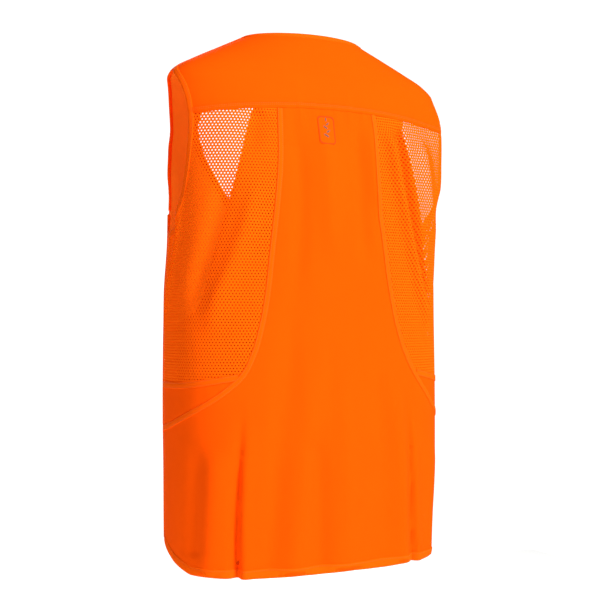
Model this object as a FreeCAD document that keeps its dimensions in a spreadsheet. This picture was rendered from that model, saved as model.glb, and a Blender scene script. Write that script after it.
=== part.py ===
"""Blaze orange field vest: a sleeveless hunting waistcoat with mesh back panels and a game pocket.

Frame: +Z up, the back faces +Y, the wearer's left is +X. The origin is the middle of the bar of the
hanger loop, inside the back of the neck. Millimetres. Heights are negative below the nape.

The cloth lies in thin layers on one body form. The form is a stack of rounded sections, and a layer
is the space between two offsets of it. A panel is the part of a layer inside its cut outline.
"""
import FreeCAD, Part
import math
import os
from FreeCAD import Placement, Rotation, Vector

doc = FreeCAD.newDocument("field_vest")
sheet = doc.addObject("Spreadsheet::Sheet", "dims")
subparts = []

# ---------------------------------------------------------------- driving dimensions
# One row per body section: height, half width, depth behind and before the middle, middle's y.
SECTIONS = {
    "below": (-760, 199, 121, 123, -8),
    "hem": (-700, 200.5, 121.5, 125, -6),
    "hip": (-610, 202, 122, 128, -3),
    "waist": (-496, 204, 113, 131, 0),
    "rib": (-366, 203, 106, 133, 2),
    "chest": (-286, 199, 105, 137, 6),
    "armpit": (-186, 201, 98, 134, 10),
    "blade": (-126, 205, 90, 124, 10),
    "shoulder": (-91, 209, 82, 110, 9),
    "point": (-68, 208, 75, 96, 8),
    "slope": (-54, 196, 71, 88, 6),
    "strap": (-38, 167, 67, 80, 3),
    "base": (-19, 128, 61, 72, 0),
    "neck": (0, 90, 55, 66, -5),
    "above": (12, 70, 51, 62, -7),
}
SECTION_KEYS = ("height", "width", "back", "front", "middle")

DIMS = {
    "cloth": 1.2,              # thickness of a cloth panel with its turned edges
    "overlay": 1.0,            # thickness of a band or binding on the cloth
    "lining_gap": 9.0,         # depth of the empty game pocket
    "back_fullness": 2.7,      # exponent of the rounded section behind
    "front_fullness": 2.2,     # the same in front
    "neck_fullness": 2.0,      # the same at the neck
    "seam_y": -48.0,           # side seam, forward of the side
    "back_gap": 0.3,           # the back starts this far behind the seams
    "front_gap": 1.8,          # the front starts this far before them, so that it swings clear
    "shoulder_gap": 2.5,       # and this far at the shoulder
    "yoke_z": -112.0,          # yoke seam at the centre back
    "yoke_drop": 14.0,         # and how much lower it ends at the armhole
    "back_hem_z": -741.0,
    "side_hem_z": -704.0,      # the hem climbs to the side seam
    "front_hem_z": -722.0,
    "hem_band": 11.0,
    "binding": 7.0,            # width of the neck and armhole bindings
    "band": 8.0,               # width of the lapped band
    "mesh_tape": 9.0,
    "zip_edge_x": 10.5,        # the open front stands this far from the middle
    "vee_z": -268.0,           # foot of the neckline
    "front_y": -131.0,         # the straight front edge
    "facing_width": 36.0,      # along the zip
    "neck_facing": 12.0,       # along the neck
    "chain_x": 4.6,            # inner face of each tooth chain
    "chain_width": 3.2,
    "chain_depth": 2.4,
    "chain_foot_z": -706.0,
    "chain_top_z": -276.0,
    "tape_width": 15.0,
    "stop_length": 4.0,
    "box_length": 12.0,
    "slider_length": 11.0,
    "slider_wall": 1.2,
    "slider_post": 0.8,        # half width of the post between the slider's channels
    "slider_gap": 0.35,
    "tape_slot": 1.5,
    "pull_length": 26.0,
    "pull_width": 7.0,
    "pull_thickness": 1.4,
    "pull_eye": 1.9,
    "pull_pin": 0.75,
    "pull_play": 0.2,
    "pocket_width": 124.0,
    "pocket_height": 143.0,
    "pocket_out": 154.0,       # the pocket's front stands this far from the vertical axis
    "pocket_wall": 1.2,
    "pocket_along": 58.0,      # its middle, sideways in its own plane
    "pocket_foot_z": -697.0,
    "pocket_turn": 20.0,       # the pocket faces this far outward, degrees
    "flap_rise": 13.0,         # the flap's seam above the pocket's mouth
    "flap_seam_out": 147.5,
    "flap_drop": 44.0,
    "flap_cloth": 1.6,
    "flap_gap": 3.0,
    "snap_drop": 28.0,         # the snap below the pocket's mouth
    "cap_radius": 7.5,
    "cap_height": 1.8,
    "socket_radius": 5.0,
    "socket_height": 1.5,
    "socket_bore": 2.5,
    "stud_radius": 2.0,
    "stud_base": 0.7,
    "stud_height": 2.5,
    "ring_turn": 24.0,
    "ring_out": 152.0,
    "ring_along": 61.0,
    "ring_z": -346.0,
    "ring_radius": 11.0,
    "ring_wire": 1.4,
    "tab_width": 16.0,
    "tab_height": 24.0,
    "tab_cloth": 1.2,
    "tab_play": 0.35,
    "loop_width": 60.0,
    "loop_tape": 8.0,
    "loop_foot": 6.0,
    "loop_y": 43.0,
    "loop_reach": 6.8,
    "loop_thickness": 1.2,
    "loop_z": -12.0,
    "label_width": 40.0,
    "label_height": 26.0,
    "label_thickness": 0.6,
    "label_y": 50.6,
    "label_z": -41.0,
    "patch_width": 26.0,
    "patch_height": 40.0,
    "patch_x": 16.0,
    "patch_z": -142.0,
}


def fill_sheet():
    """Writes every driving dimension into the sheet, under its own name, and reads them back."""
    cells = dict(DIMS)
    for name, values in SECTIONS.items():
        for key, value in zip(SECTION_KEYS, values):
            cells[name + "_" + key] = value
    for row, (name, value) in enumerate(cells.items(), start=1):
        sheet.set("A%d" % row, name)
        sheet.set("B%d" % row, str(value))
        sheet.setAlias("B%d" % row, name)
    doc.recompute()
    return {name: float(sheet.get(name)) for name in cells}


SIZES = fill_sheet()


def dim(name):
    """A driving dimension, as the sheet holds it."""
    return SIZES[name]


# ---------------------------------------------------------------- the body form
def section_point(name, angle, offset):
    """A point of one section's outline, grown by offset. Angle 0 is +X and 90 is the back."""
    height, width, back, front, middle = (dim(name + "_" + key) for key in SECTION_KEYS)
    towards_neck = max(0.0, min(1.0, (height - dim("armpit_height")) / -dim("armpit_height")))
    side = math.cos(angle)
    depth = math.sin(angle)
    full = dim("back_fullness") if depth > 0 else dim("front_fullness")
    full += (dim("neck_fullness") - full) * towards_neck
    reach = (back if depth > 0 else front) + offset
    radius = (abs(side / (width + offset)) ** full + abs(depth / reach) ** full) ** (-1 / full)
    lift = 0.8 * offset if height > dim("shoulder_height") else 0.0
    return Vector(radius * side, middle + radius * depth, height + lift)


def section_wire(name, offset, steps=12):
    """The closed smooth outline of one section: a left and a right half, joined in the middle."""
    halves = []
    for side in (1, -1):
        angles = [math.pi * (i / steps - 0.5) for i in range(steps + 1)]
        points = [section_point(name, angle, offset) for angle in angles]
        curve = Part.BSplineCurve()
        curve.interpolate(
            Points=[Vector(side * point.x, point.y, point.z) for point in points],
            InitialTangent=Vector(side, 0, 0),
            FinalTangent=Vector(-side, 0, 0),
        )
        halves.append(curve.toShape())
    return Part.Wire(halves)


def layer(name, inner, outer):
    """The space between two offsets of the form, as one closed solid."""
    rings = {offset: [section_wire(section, offset) for section in SECTIONS] for offset in (inner, outer)}
    faces = []
    for wires in rings.values():
        faces += Part.makeLoft(wires, False, False).Faces
    for end in (0, -1):
        faces += Part.makeRuledSurface(rings[outer][end], rings[inner][end]).Faces
    shell = Part.Shell(faces)
    shell.sewShape()
    solid = Part.Solid(shell)
    if solid.Volume < 0:
        solid.reverse()
    shape = doc.addObject("Part::Feature", name)
    shape.Shape = solid
    return shape


# ---------------------------------------------------------------- outlines and panels
def outline(name, points, plane="front"):
    """A prism through the whole body. Its outline is a sketch of straight runs and curves.

    Each entry of points is a corner (a pair), or a list of pairs that a smooth curve runs through.
    On plane "front" the pairs are x and z, and on plane "side" they are y and z.
    """
    sketch = doc.addObject("Sketcher::SketchObject", name + "_sketch")
    if plane == "front":
        sketch.Placement = Placement(Vector(0, 0, 0), Rotation(Vector(1, 0, 0), 90))
        direction = Vector(0, 1, 0)
    else:
        sketch.Placement = Placement(Vector(0, 0, 0), Rotation(Vector(1, 1, 1), 120))
        direction = Vector(1, 0, 0)
    runs = [entry if isinstance(entry, list) else [entry] for entry in points]
    edges = []
    for run, following in zip(runs, runs[1:] + runs[:1]):
        if len(run) > 1:
            curve = Part.BSplineCurve()
            curve.interpolate([Vector(x, y, 0) for x, y in run])
            edges.append(curve)
        start = Vector(*run[-1], 0)
        end = Vector(*following[0], 0)
        if start.distanceToPoint(end) > 1e-6:
            edges.append(Part.LineSegment(start, end))
    sketch.addGeometry(edges)
    prism = doc.addObject("Part::Extrusion", name)
    prism.Base = sketch
    prism.DirMode = "Custom"
    prism.Dir = direction
    prism.LengthFwd = 400
    prism.LengthRev = 400
    prism.Solid = True
    return prism


def block(name, low, high):
    """A plain box between two corners."""
    box = doc.addObject("Part::Box", name)
    box.Placement.Base = Vector(*low)
    box.Length, box.Width, box.Height = (b - a for a, b in zip(low, high))
    return box


def within(name, *shapes):
    """What all the shapes share."""
    common = doc.addObject("Part::MultiCommon", name)
    common.Shapes = list(shapes)
    return common


def without(name, base, *tools):
    """The base less the tools."""
    tool = tools[0]
    if len(tools) > 1:
        tool = doc.addObject("Part::MultiFuse", name + "_tools")
        tool.Shapes = list(tools)
    cut = doc.addObject("Part::Cut", name)
    cut.Base = base
    cut.Tool = tool
    return cut


def together(name, *shapes):
    """The shapes as one solid."""
    fuse = doc.addObject("Part::MultiFuse", name)
    fuse.Shapes = list(shapes)
    return fuse


def keep(shape, label):
    """Marks a finished sub-part, whose label names its file."""
    shape.Label = label
    subparts.append(shape)
    return shape


def mirrored(points, side):
    """The outline's points for the left (side 1) or the right (side -1)."""
    turned = []
    for entry in points:
        if isinstance(entry, list):
            turned.append([(side * x, z) for x, z in entry])
        else:
            turned.append((side * entry[0], entry[1]))
    return turned


def hem_line(lift=0.0):
    """The hem seen from the side, as y and z, from behind to the front. It climbs to the side seam."""
    back_z, side_z, front_z = dim("back_hem_z"), dim("side_hem_z"), dim("front_hem_z")
    line = [(400, back_z), (90, back_z), (45, back_z + 2), (5, back_z + 14), (-30, side_z - 7),
            (dim("seam_y"), side_z), (-88, side_z - 7), (-112, front_z + 1), (-400, front_z)]
    return [(y, z + lift) for y, z in line]


def above_hem(name, lift=0.0):
    """Everything above the hem line, or above a line lifted from it."""
    return outline(name, [hem_line(lift), (-400, 60), (400, 60)], plane="side")


def yoke_height(x):
    """The yoke seam: level in the middle, and sinking to the armholes."""
    return dim("yoke_z") - dim("yoke_drop") * (x / dim("hem_width")) ** 2


# The outer edge of each lapped band, from the yoke to the side. The cloth hangs a little to the left.
BAND_LINE = {
    "left": [(85.5, -106), (89, -175), (95, -240), (102, -307), (109, -373), (118, -415), (141, -472),
             (166, -498), (198, -524), (232, -560)],
    "right": [(66, -106), (66, -170), (68, -236), (79, -302), (93, -372), (106, -420), (131, -470),
              (160, -504), (198, -536), (232, -566)],
}
# The left neckline in front, from above the shoulder down to the zip.
NECK_LINE = [(84, 20), (104, -42), (120, -88), (127, -118), (118, -144), (98, -173), (72, -206),
             (dim("zip_edge_x"), dim("vee_z"))]
# The armhole, from the shoulder point and round by the back.
ARMHOLE = [(6, -57), (25, -69), (42, -95), (48, -125), (46, -170), (37, -216), (18, -258), (-20, -297),
           (-44, -262), (-52, -200), (-52, -130), (-38, -84), (-14, -62)]
ARMHOLE_MIDDLE = (-3, -170)


def shifted(line, distance):
    """A line of points moved sideways, to its left as it runs, by a distance."""
    moved = []
    for i, (x, z) in enumerate(line):
        before = line[max(i - 1, 0)]
        after = line[min(i + 1, len(line) - 1)]
        along = Vector(after[0] - before[0], after[1] - before[1], 0).normalize()
        moved.append((x - along.y * distance, z + along.x * distance))
    return moved


def armhole_prism(name, grow):
    """The armhole as a prism across the body, grown all round."""
    middle = Vector(*ARMHOLE_MIDDLE, 0)
    loop = []
    for y, z in ARMHOLE:
        arm = Vector(y, z, 0) - middle
        point = middle + arm * ((arm.Length + grow) / arm.Length)
        loop.append((point.x, point.y))
    loop.append(loop[0])
    return outline(name, [loop], plane="side")


LOW = -780.0                                          # well below the hem
CLOTH = dim("cloth")
TAPE_LAYER = (-2.2, -1.4)
FACING_LAYER = (-3.4, -2.4)
cloth = layer("cloth_layer", -CLOTH, 0.0)
overlay = layer("overlay_layer", 0.0, dim("overlay"))
lining_out = -CLOTH - dim("lining_gap")
lining_layer = layer("lining_layer", lining_out - 1.0, lining_out)
floor_layer = layer("floor_layer", lining_out, -CLOTH)
tape_layer = layer("tape_layer", *TAPE_LAYER)
facing_layer = layer("facing_layer", *FACING_LAYER)
# Everything inside the cloth, which the pockets stop at.
body_form = doc.addObject("Part::Feature", "body_form")
body_form.Shape = Part.makeLoft([section_wire(name, 0.1) for name in SECTIONS], True, False)
armhole = armhole_prism("armhole", 0)
armhole_grown = armhole_prism("armhole_grown", dim("binding"))

# The back hangs from the shoulders and wraps round to the side seams. The front is the rest.
FAR = 260.0
MID_ARMHOLE_Z = -170.0


def region(name, gap, shoulder_gap, far):
    """Everything on one side of the shoulder seam and the side seam, which meet the armhole."""
    seam_y = dim("seam_y") + gap
    return outline(name, [
        (shoulder_gap, 30), (shoulder_gap, MID_ARMHOLE_Z), (seam_y, MID_ARMHOLE_Z), (seam_y, LOW),
        (far, LOW), (far, 30)], plane="side")


behind = region("back_region", dim("back_gap"), dim("back_gap"), FAR)
before = region("front_region", -dim("front_gap"), -dim("shoulder_gap"), -FAR)
over_hem = above_hem("over_hem")
over_band = above_hem("over_band", dim("hem_band"))
over_floor = above_hem("over_floor", dim("hem_band") + 3)
back_cloth = without("back_cloth", within("back_wall", cloth, behind, over_hem), armhole)
front_cloth = without("front_cloth", within("front_wall", cloth, before, over_hem), armhole)
back_overlay = without("back_overlay", within("back_skin", overlay, behind, over_hem), armhole)
front_overlay = without("front_overlay", within("front_skin", overlay, before, over_hem), armhole)
SIDES = {"left": 1, "right": -1}
half_space = {"left": block("left_half", (0, -300, -800), (300, 300, 60)),
              "right": block("right_half", (-300, -300, -800), (0, 300, 60))}


# ---------------------------------------------------------------- back panels
yoke_line = [(x, yoke_height(x)) for x in (-FAR, -140, 0, 140, FAR)]
yoke_prism = outline("yoke_outline", [yoke_line, (FAR, 0), (-FAR, 0)])
back_yoke = keep(within("yoke", back_cloth, yoke_prism), "back_yoke")

bands = {}
for side_name, points in BAND_LINE.items():
    start = points[0][0]
    bands[side_name] = [(start, yoke_height(start))] + points[1:]
band_foot = {side_name: points[-1][1] for side_name, points in bands.items()}
band_start = {side_name: points[0][0] for side_name, points in bands.items()}
centre_prism = outline("centre_outline", [
    [(x, yoke_height(x)) for x in (-band_start["right"], 0, band_start["left"])],
    bands["left"], (FAR, band_foot["left"]), (FAR, LOW), (-FAR, LOW), (-FAR, band_foot["right"]),
    [(-x, z) for x, z in reversed(bands["right"])]])
keep(within("centre", back_cloth, centre_prism), "centre_back_panel")

# The seam under each mesh panel, from the lapped band to the side.
MESH_SEAM = {
    "left": [(144, -471), (200, -483), (FAR, -486)],
    "right": [(134, -469), (200, -483), (FAR, -486)],
}
for side_name, side in SIDES.items():
    seam = MESH_SEAM[side_name]
    band = bands[side_name]
    above_seam = outline(side_name + "_above_seam", mirrored([
        [(x, yoke_height(x)) for x in (FAR, 140, band_start[side_name] - 30)],
        (band_start[side_name] - 30, seam[0][1]), seam], side))
    below_points = [seam, (FAR, LOW), (seam[0][0], LOW)]
    below_seam = outline(side_name + "_below_seam", mirrored(below_points, side))
    mesh_wall = within(side_name + "_mesh_wall", back_cloth, above_seam)
    keep(without(side_name + "_mesh", mesh_wall, centre_prism), side_name + "_mesh_panel")
    side_wall = within(side_name + "_side_wall", back_cloth, below_seam)
    keep(without(side_name + "_side", side_wall, centre_prism), side_name + "_side_panel")

    band_points = [band, shifted(band, -dim("band"))[::-1]]
    band_prism = outline(side_name + "_band_outline", mirrored(band_points, side))
    keep(within(side_name + "_band_strip", back_overlay, band_prism), side_name + "_lapped_band")

    tape_points = [seam, shifted(seam, -dim("mesh_tape"))[::-1]]
    tape_prism = outline(side_name + "_mesh_tape_outline", mirrored(tape_points, side))
    tape_wall = within(side_name + "_mesh_strip", back_overlay, tape_prism, half_space[side_name])
    keep(without(side_name + "_tape_cut", tape_wall, centre_prism), side_name + "_mesh_seam_tape")

    keep(within(side_name + "_back_arm", back_overlay, armhole_grown, half_space[side_name]),
         side_name + "_back_armhole_binding")

keep(without("hem", back_overlay, over_band), "back_hem_band")

neck_strip = block("neck_strip", (-200, 0, -dim("binding")), (200, 200, 0))
keep(within("neck_skin", back_overlay, neck_strip), "back_neck_binding")

LINING_SIDE = [(116, -116), (145, -206), (176, -316), (198, -400), (FAR, -470)]
lining_prism = outline("lining_outline", [
    LINING_SIDE, (FAR, LOW), (-FAR, LOW), [(-x, z) for x, z in LINING_SIDE[::-1]]])
keep(within("lining", lining_layer, behind, over_floor, lining_prism), "game_pocket_lining")
over_floor_top = above_hem("over_floor_top", dim("hem_band") + 4.2)
keep(without("pocket_floor", within("floor_ring", floor_layer, behind, over_floor), over_floor_top),
     "game_pocket_floor")

patch_x, patch_z = dim("patch_x"), dim("patch_z")
patch_block = doc.addObject("Part::Box", "patch_block")
patch_block.Placement.Base = Vector(patch_x - dim("patch_width") / 2, 0, patch_z - dim("patch_height") / 2)
patch_block.setExpression("Length", "dims.patch_width")
patch_block.setExpression("Height", "dims.patch_height")
patch_block.Width = 200
patch_rounded = doc.addObject("Part::Fillet", "patch_rounded")
patch_rounded.Base = patch_block
doc.recompute()
upright = [i + 1 for i, edge in enumerate(patch_block.Shape.Edges)
           if abs(edge.tangentAt(edge.FirstParameter).y) > 0.9]
patch_rounded.Edges = [(i, 5.0, 5.0) for i in upright]
keep(within("patch", back_overlay, patch_rounded), "blank_patch")


# ---------------------------------------------------------------- solids made from sketches
def plane_of(body, role):
    """One of the body's own origin planes."""
    return next(item for item in body.Origin.OriginFeatures if item.Role == role)


def polygon_body(name, corners, length, role="XY_Plane"):
    """A body padded by length from a polygon on one of its origin planes."""
    body = doc.addObject("PartDesign::Body", name)
    sketch = body.newObject("Sketcher::SketchObject", name + "_sketch")
    sketch.AttachmentSupport = (plane_of(body, role), [""])
    sketch.MapMode = "FlatFace"
    points = [Vector(x, y, 0) for x, y in corners]
    sketch.addGeometry([Part.LineSegment(a, b) for a, b in zip(points, points[1:] + points[:1])])
    pad = body.newObject("PartDesign::Pad", name + "_pad")
    pad.Profile = sketch
    pad.setExpression("Length", length)
    return body


loop_half, loop_foot = dim("loop_width") / 2, dim("loop_foot")
loop_y, loop_skin, loop_back = dim("loop_y"), dim("loop_thickness"), dim("loop_y") + dim("loop_reach")
loop = polygon_body("loop", [
    (-loop_half, loop_y), (loop_half, loop_y), (loop_half, loop_back), (loop_half - loop_foot, loop_back),
    (loop_half - loop_foot, loop_y + loop_skin), (loop_foot - loop_half, loop_y + loop_skin),
    (loop_foot - loop_half, loop_back), (-loop_half, loop_back)], "dims.loop_tape")
loop.setExpression("Placement.Base.z", "dims.loop_z")
keep(without("sewn_loop", loop, back_yoke), "hanger_loop")

label = doc.addObject("Part::Box", "label")
label.setExpression("Length", "dims.label_width")
label.setExpression("Width", "dims.label_thickness")
label.setExpression("Height", "dims.label_height")
label.setExpression("Placement.Base.x", "-dims.label_width / 2")
label.setExpression("Placement.Base.y", "dims.label_y")
label.setExpression("Placement.Base.z", "dims.label_z")
keep(label, "care_label")

# ---------------------------------------------------------------- front panels
edge_x = dim("zip_edge_x")
facing_inner = shifted(NECK_LINE, dim("neck_facing"))
facing_x = edge_x + dim("facing_width")
facing_points = [NECK_LINE, (edge_x, dim("front_hem_z") + 4), (facing_x, dim("front_hem_z") + 4),
                 (facing_x, dim("vee_z") - 20), facing_inner[-2::-1]]
front_panels = {}
for side_name, side in SIDES.items():
    panel_points = [(edge_x, LOW), (FAR, LOW), (FAR, 20), NECK_LINE]
    panel_prism = outline(side_name + "_front_outline", mirrored(panel_points, side))
    front_panels[side_name] = within(side_name + "_front", front_cloth, panel_prism)
    keep(front_panels[side_name], side_name + "_front_panel")

    facing_prism = outline(side_name + "_facing_outline", mirrored(facing_points, side))
    facing_wall = within(side_name + "_facing_wall", facing_layer, before, facing_prism)
    keep(without(side_name + "_facing", facing_wall, armhole), side_name + "_front_facing")

    front_skin = within(side_name + "_front_skin", front_overlay, panel_prism)
    keep(without(side_name + "_front_band", front_skin, over_band), side_name + "_front_hem_band")

    neck_points = [NECK_LINE, shifted(NECK_LINE, dim("binding"))[::-1]]
    neck_prism = outline(side_name + "_neck_outline", mirrored(neck_points, side))
    keep(within(side_name + "_front_neck", front_overlay, neck_prism), side_name + "_front_neck_binding")

    keep(within(side_name + "_front_arm", front_overlay, armhole_grown, half_space[side_name]),
         side_name + "_front_armhole_binding")

# ---------------------------------------------------------------- the open zip
# Plan of the zip, looking down: each chain stands clear of its panel's edge, and the slider rides on
# the left chain with its empty channel towards the right one.
chain_x, chain_width = dim("chain_x"), dim("chain_width")
chain_y = dim("front_y") + 1.8
chain_low, chain_high = dim("chain_foot_z"), dim("chain_top_z")
half_depth = dim("chain_depth") / 2
tape_start = chain_x + chain_width + 0.2
slider_x = chain_x - dim("slider_post") - dim("slider_gap")
channel_half = half_depth + dim("slider_gap")
plate_half = channel_half + dim("slider_wall")
flange_in = chain_x + chain_width + dim("slider_gap") - slider_x
flange_out = flange_in + 0.8
slot_half = dim("tape_slot") / 2


def side_block(name, side, x, y, z):
    """A box from its x range on the left side, and its y and z ranges."""
    low, high = sorted((side * x[0], side * x[1]))
    return block(name, (low, y[0], z[0]), (high, y[1], z[1]))


STOP = dim("stop_length")
BOX_TOP = chain_low - 0.1
BOX_LOW = BOX_TOP - dim("box_length")
for side_name, side in SIDES.items():
    tape_block = side_block(side_name + "_tape_block", side, (tape_start, tape_start + dim("tape_width")),
                            (-200, 0), (BOX_LOW, chain_high + 8))
    keep(within(side_name + "_tape", tape_layer, tape_block), side_name + "_zip_tape")
    chain = side_block(side_name + "_chain", side, (chain_x, chain_x + chain_width),
                       (chain_y - half_depth, chain_y + half_depth), (chain_low, chain_high - STOP - 0.1))
    keep(chain, side_name + "_tooth_chain")
    stop = side_block(side_name + "_stop", side, (chain_x - 0.2, chain_x + chain_width),
                      (chain_y - half_depth - 0.3, chain_y + half_depth + 0.3), (chain_high - STOP, chain_high))
    keep(stop, side_name + "_top_stop")

box_shell = side_block("box_shell", 1, (slider_x - flange_out, slider_x + flange_out - 1.2),
                       (chain_y - plate_half, chain_y + plate_half), (BOX_LOW, BOX_TOP))
box_bore = side_block("box_bore", 1, (slider_x - flange_in, slider_x - 1.0),
                      (chain_y - channel_half, chain_y + channel_half), (BOX_LOW + 2, BOX_TOP + 1))
keep(without("retainer_box", box_shell, box_bore), "retainer_box")
pin = side_block("pin_block", -1, (chain_x, chain_x + chain_width),
                 (chain_y - half_depth, chain_y + half_depth), (BOX_LOW, BOX_TOP))
keep(pin, "insertion_pin")

half_plan = [
    (flange_out, plate_half), (flange_out, slot_half), (flange_in, slot_half),
    (flange_in, channel_half), (dim("slider_post"), channel_half)]
quarter_turns = half_plan + [(x, -y) for x, y in reversed(half_plan)]
slider_plan = quarter_turns + [(-x, y) for x, y in reversed(quarter_turns)]
slider_corners = [(slider_x + x, chain_y + y) for x, y in slider_plan]
slider_body = polygon_body("slider_body", slider_corners, "dims.slider_length")
SLIDER_LOW = chain_low + 0.2
slider_body.Placement.Base = Vector(0, 0, SLIDER_LOW)
PIN_Y = chain_y - plate_half - 2.2
PIN_Z = SLIDER_LOW + dim("slider_length") / 2
EYE_HALF = 1.8                # half the length of the pull's eye
LUG = 1.2                     # thickness of the lugs that hold its pin
LUG_HALF = 1.6


def rod(name, radius, low, length, axis):
    """A round bar from its low end along an axis."""
    bar = doc.addObject("Part::Cylinder", name)
    bar.Radius = radius
    bar.Height = length
    bar.Placement = Placement(Vector(*low), Rotation(Vector(0, 0, 1), axis))
    return bar


ACROSS = Vector(1, 0, 0)
lugs = []
for lug_name, lug_x in (("inner_lug", -EYE_HALF - 0.3 - LUG), ("outer_lug", EYE_HALF + 0.3)):
    lug_low = (slider_x + lug_x, PIN_Y - LUG, PIN_Z - LUG_HALF)
    lug_high = (slider_x + lug_x + LUG, chain_y - plate_half + 0.2, PIN_Z + LUG_HALF)
    lugs.append(block(lug_name, lug_low, lug_high))
pin_low = (slider_x - EYE_HALF - 1, PIN_Y, PIN_Z)
pull_pin = rod("pull_pin", dim("pull_pin"), pin_low, 2 * EYE_HALF + 2, ACROSS)
pull_pin.setExpression("Radius", "dims.pull_pin")
keep(together("slider", slider_body, pull_pin, *lugs), "zip_slider")

eye = rod("eye", dim("pull_eye"), (slider_x - EYE_HALF, PIN_Y, PIN_Z), 2 * EYE_HALF, ACROSS)
eye.setExpression("Radius", "dims.pull_eye")
eye_bore = rod("eye_bore", 1, pin_low, 2 * EYE_HALF + 2, ACROSS)
eye_bore.setExpression("Radius", "dims.pull_pin + dims.pull_play")
pull_half = dim("pull_width") / 2
pull_in = PIN_Y - dim("pull_thickness") / 2
pull_out = PIN_Y + dim("pull_thickness") / 2
PULL_TOP = PIN_Z - 3.2
PULL_FOOT = PULL_TOP - dim("pull_length") + 4
neck = block("pull_neck", (slider_x - EYE_HALF, pull_in, PULL_TOP - 1), (slider_x + EYE_HALF, pull_out, PIN_Z - 0.5))
tab = block("pull_tab", (slider_x - pull_half, pull_in, PULL_FOOT), (slider_x + pull_half, pull_out, PULL_TOP))
finger = rod("pull_hole", 1.8, (slider_x, PIN_Y - 5, PULL_FOOT + 5), 10, Vector(0, 1, 0))
keep(without("pull", together("pull_solid", eye, neck, tab), eye_bore, finger), "zip_pull")


# ---------------------------------------------------------------- lower pockets and their flaps
def facing_out(side, turn):
    """The placement of a plane turned outward by an angle. In it x runs to the side and -y is out."""
    return Placement(Vector(0, 0, 0), Rotation(Vector(0, 0, 1), side * turn))


POCKET_TOP = dim("pocket_foot_z") + dim("pocket_height")
pocket_out = dim("pocket_out")
FLAP_IN = pocket_out + dim("flap_gap")
FLAP_OUT = FLAP_IN + dim("flap_cloth")
SEAM_Z = POCKET_TOP + dim("flap_rise")
SEAM_OUT = dim("flap_seam_out")
SNAP_Z = POCKET_TOP - dim("snap_drop")
FLAP_FOOT = POCKET_TOP - dim("flap_drop")
OUTWARD = Vector(0, -1, 0)
for side_name, side in SIDES.items():
    turn = facing_out(side, dim("pocket_turn"))
    middle = side * dim("pocket_along")
    half = dim("pocket_width") / 2
    wall = dim("pocket_wall")
    outside = block(side_name + "_pocket_outside", (middle - half, -pocket_out, dim("pocket_foot_z")),
                    (middle + half, -80, POCKET_TOP))
    inside_low = (middle - half + wall, wall - pocket_out, dim("pocket_foot_z") + wall)
    inside = block(side_name + "_pocket_inside", inside_low, (middle + half - wall, -70, POCKET_TOP + 10))
    pocket_box = without(side_name + "_pocket_box", outside, inside)
    pocket_box.Placement = turn
    keep(without(side_name + "_pocket_shell", pocket_box, body_form), side_name + "_bellows_pocket")

    slope = [(SEAM_OUT, SEAM_Z), (FLAP_OUT, POCKET_TOP + 2), (FLAP_OUT, FLAP_FOOT), (FLAP_IN, FLAP_FOOT),
             (FLAP_IN, POCKET_TOP + 1.2), (SEAM_OUT, SEAM_Z - 1.8)]
    profile = [(-out, z) for out, z in slope]
    flap = polygon_body(side_name + "_flap", profile, "dims.pocket_width - 4", "YZ_Plane")
    bore_radius = dim("stud_radius") + 0.8
    bore = rod(side_name + "_flap_bore", bore_radius, (middle, -FLAP_IN + 2, SNAP_Z), 8, OUTWARD)
    flap.Placement = Placement(Vector(middle - half + 2, 0, 0), Rotation())
    flap_cut = without(side_name + "_flap_cut", flap, bore)
    flap_cut.Placement = turn
    keep(flap_cut, side_name + "_pocket_flap")

    on_flap = (middle, -FLAP_OUT, SNAP_Z)
    cap = rod(side_name + "_cap", dim("cap_radius"), on_flap, dim("cap_height"), OUTWARD)
    crown = doc.addObject("Part::Cone", side_name + "_cap_crown")
    crown.Radius1 = dim("cap_radius")
    crown.Radius2 = dim("cap_radius") - 2.5
    crown.Height = 0.8
    crown.Placement = Placement(Vector(middle, -FLAP_OUT - dim("cap_height"), SNAP_Z),
                                Rotation(Vector(0, 0, 1), OUTWARD))
    post = rod(side_name + "_cap_post", 1.6, (middle, -FLAP_IN - 0.4, SNAP_Z), dim("flap_cloth"), OUTWARD)
    whole_cap = together(side_name + "_whole_cap", cap, crown, post)
    whole_cap.Placement = turn
    keep(whole_cap, side_name + "_snap_cap")

    under_flap = (middle, -FLAP_IN + dim("socket_height"), SNAP_Z)
    through_flap = (middle, -FLAP_IN + 3, SNAP_Z)
    socket = rod(side_name + "_socket_disc", dim("socket_radius"), under_flap, dim("socket_height"), OUTWARD)
    socket_bore = rod(side_name + "_socket_bore", dim("socket_bore"), through_flap, 6, OUTWARD)
    socket_ring = without(side_name + "_socket_ring", socket, socket_bore)
    socket_ring.Placement = turn
    keep(socket_ring, side_name + "_snap_socket")

    on_pocket = (middle, -pocket_out, SNAP_Z)
    base = rod(side_name + "_stud_base", dim("socket_radius"), on_pocket, dim("stud_base"), OUTWARD)
    knob = rod(side_name + "_stud_knob", dim("stud_radius"), on_pocket, dim("stud_height"), OUTWARD)
    stud = together(side_name + "_stud", base, knob)
    stud.Placement = turn
    keep(stud, side_name + "_snap_stud")

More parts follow.
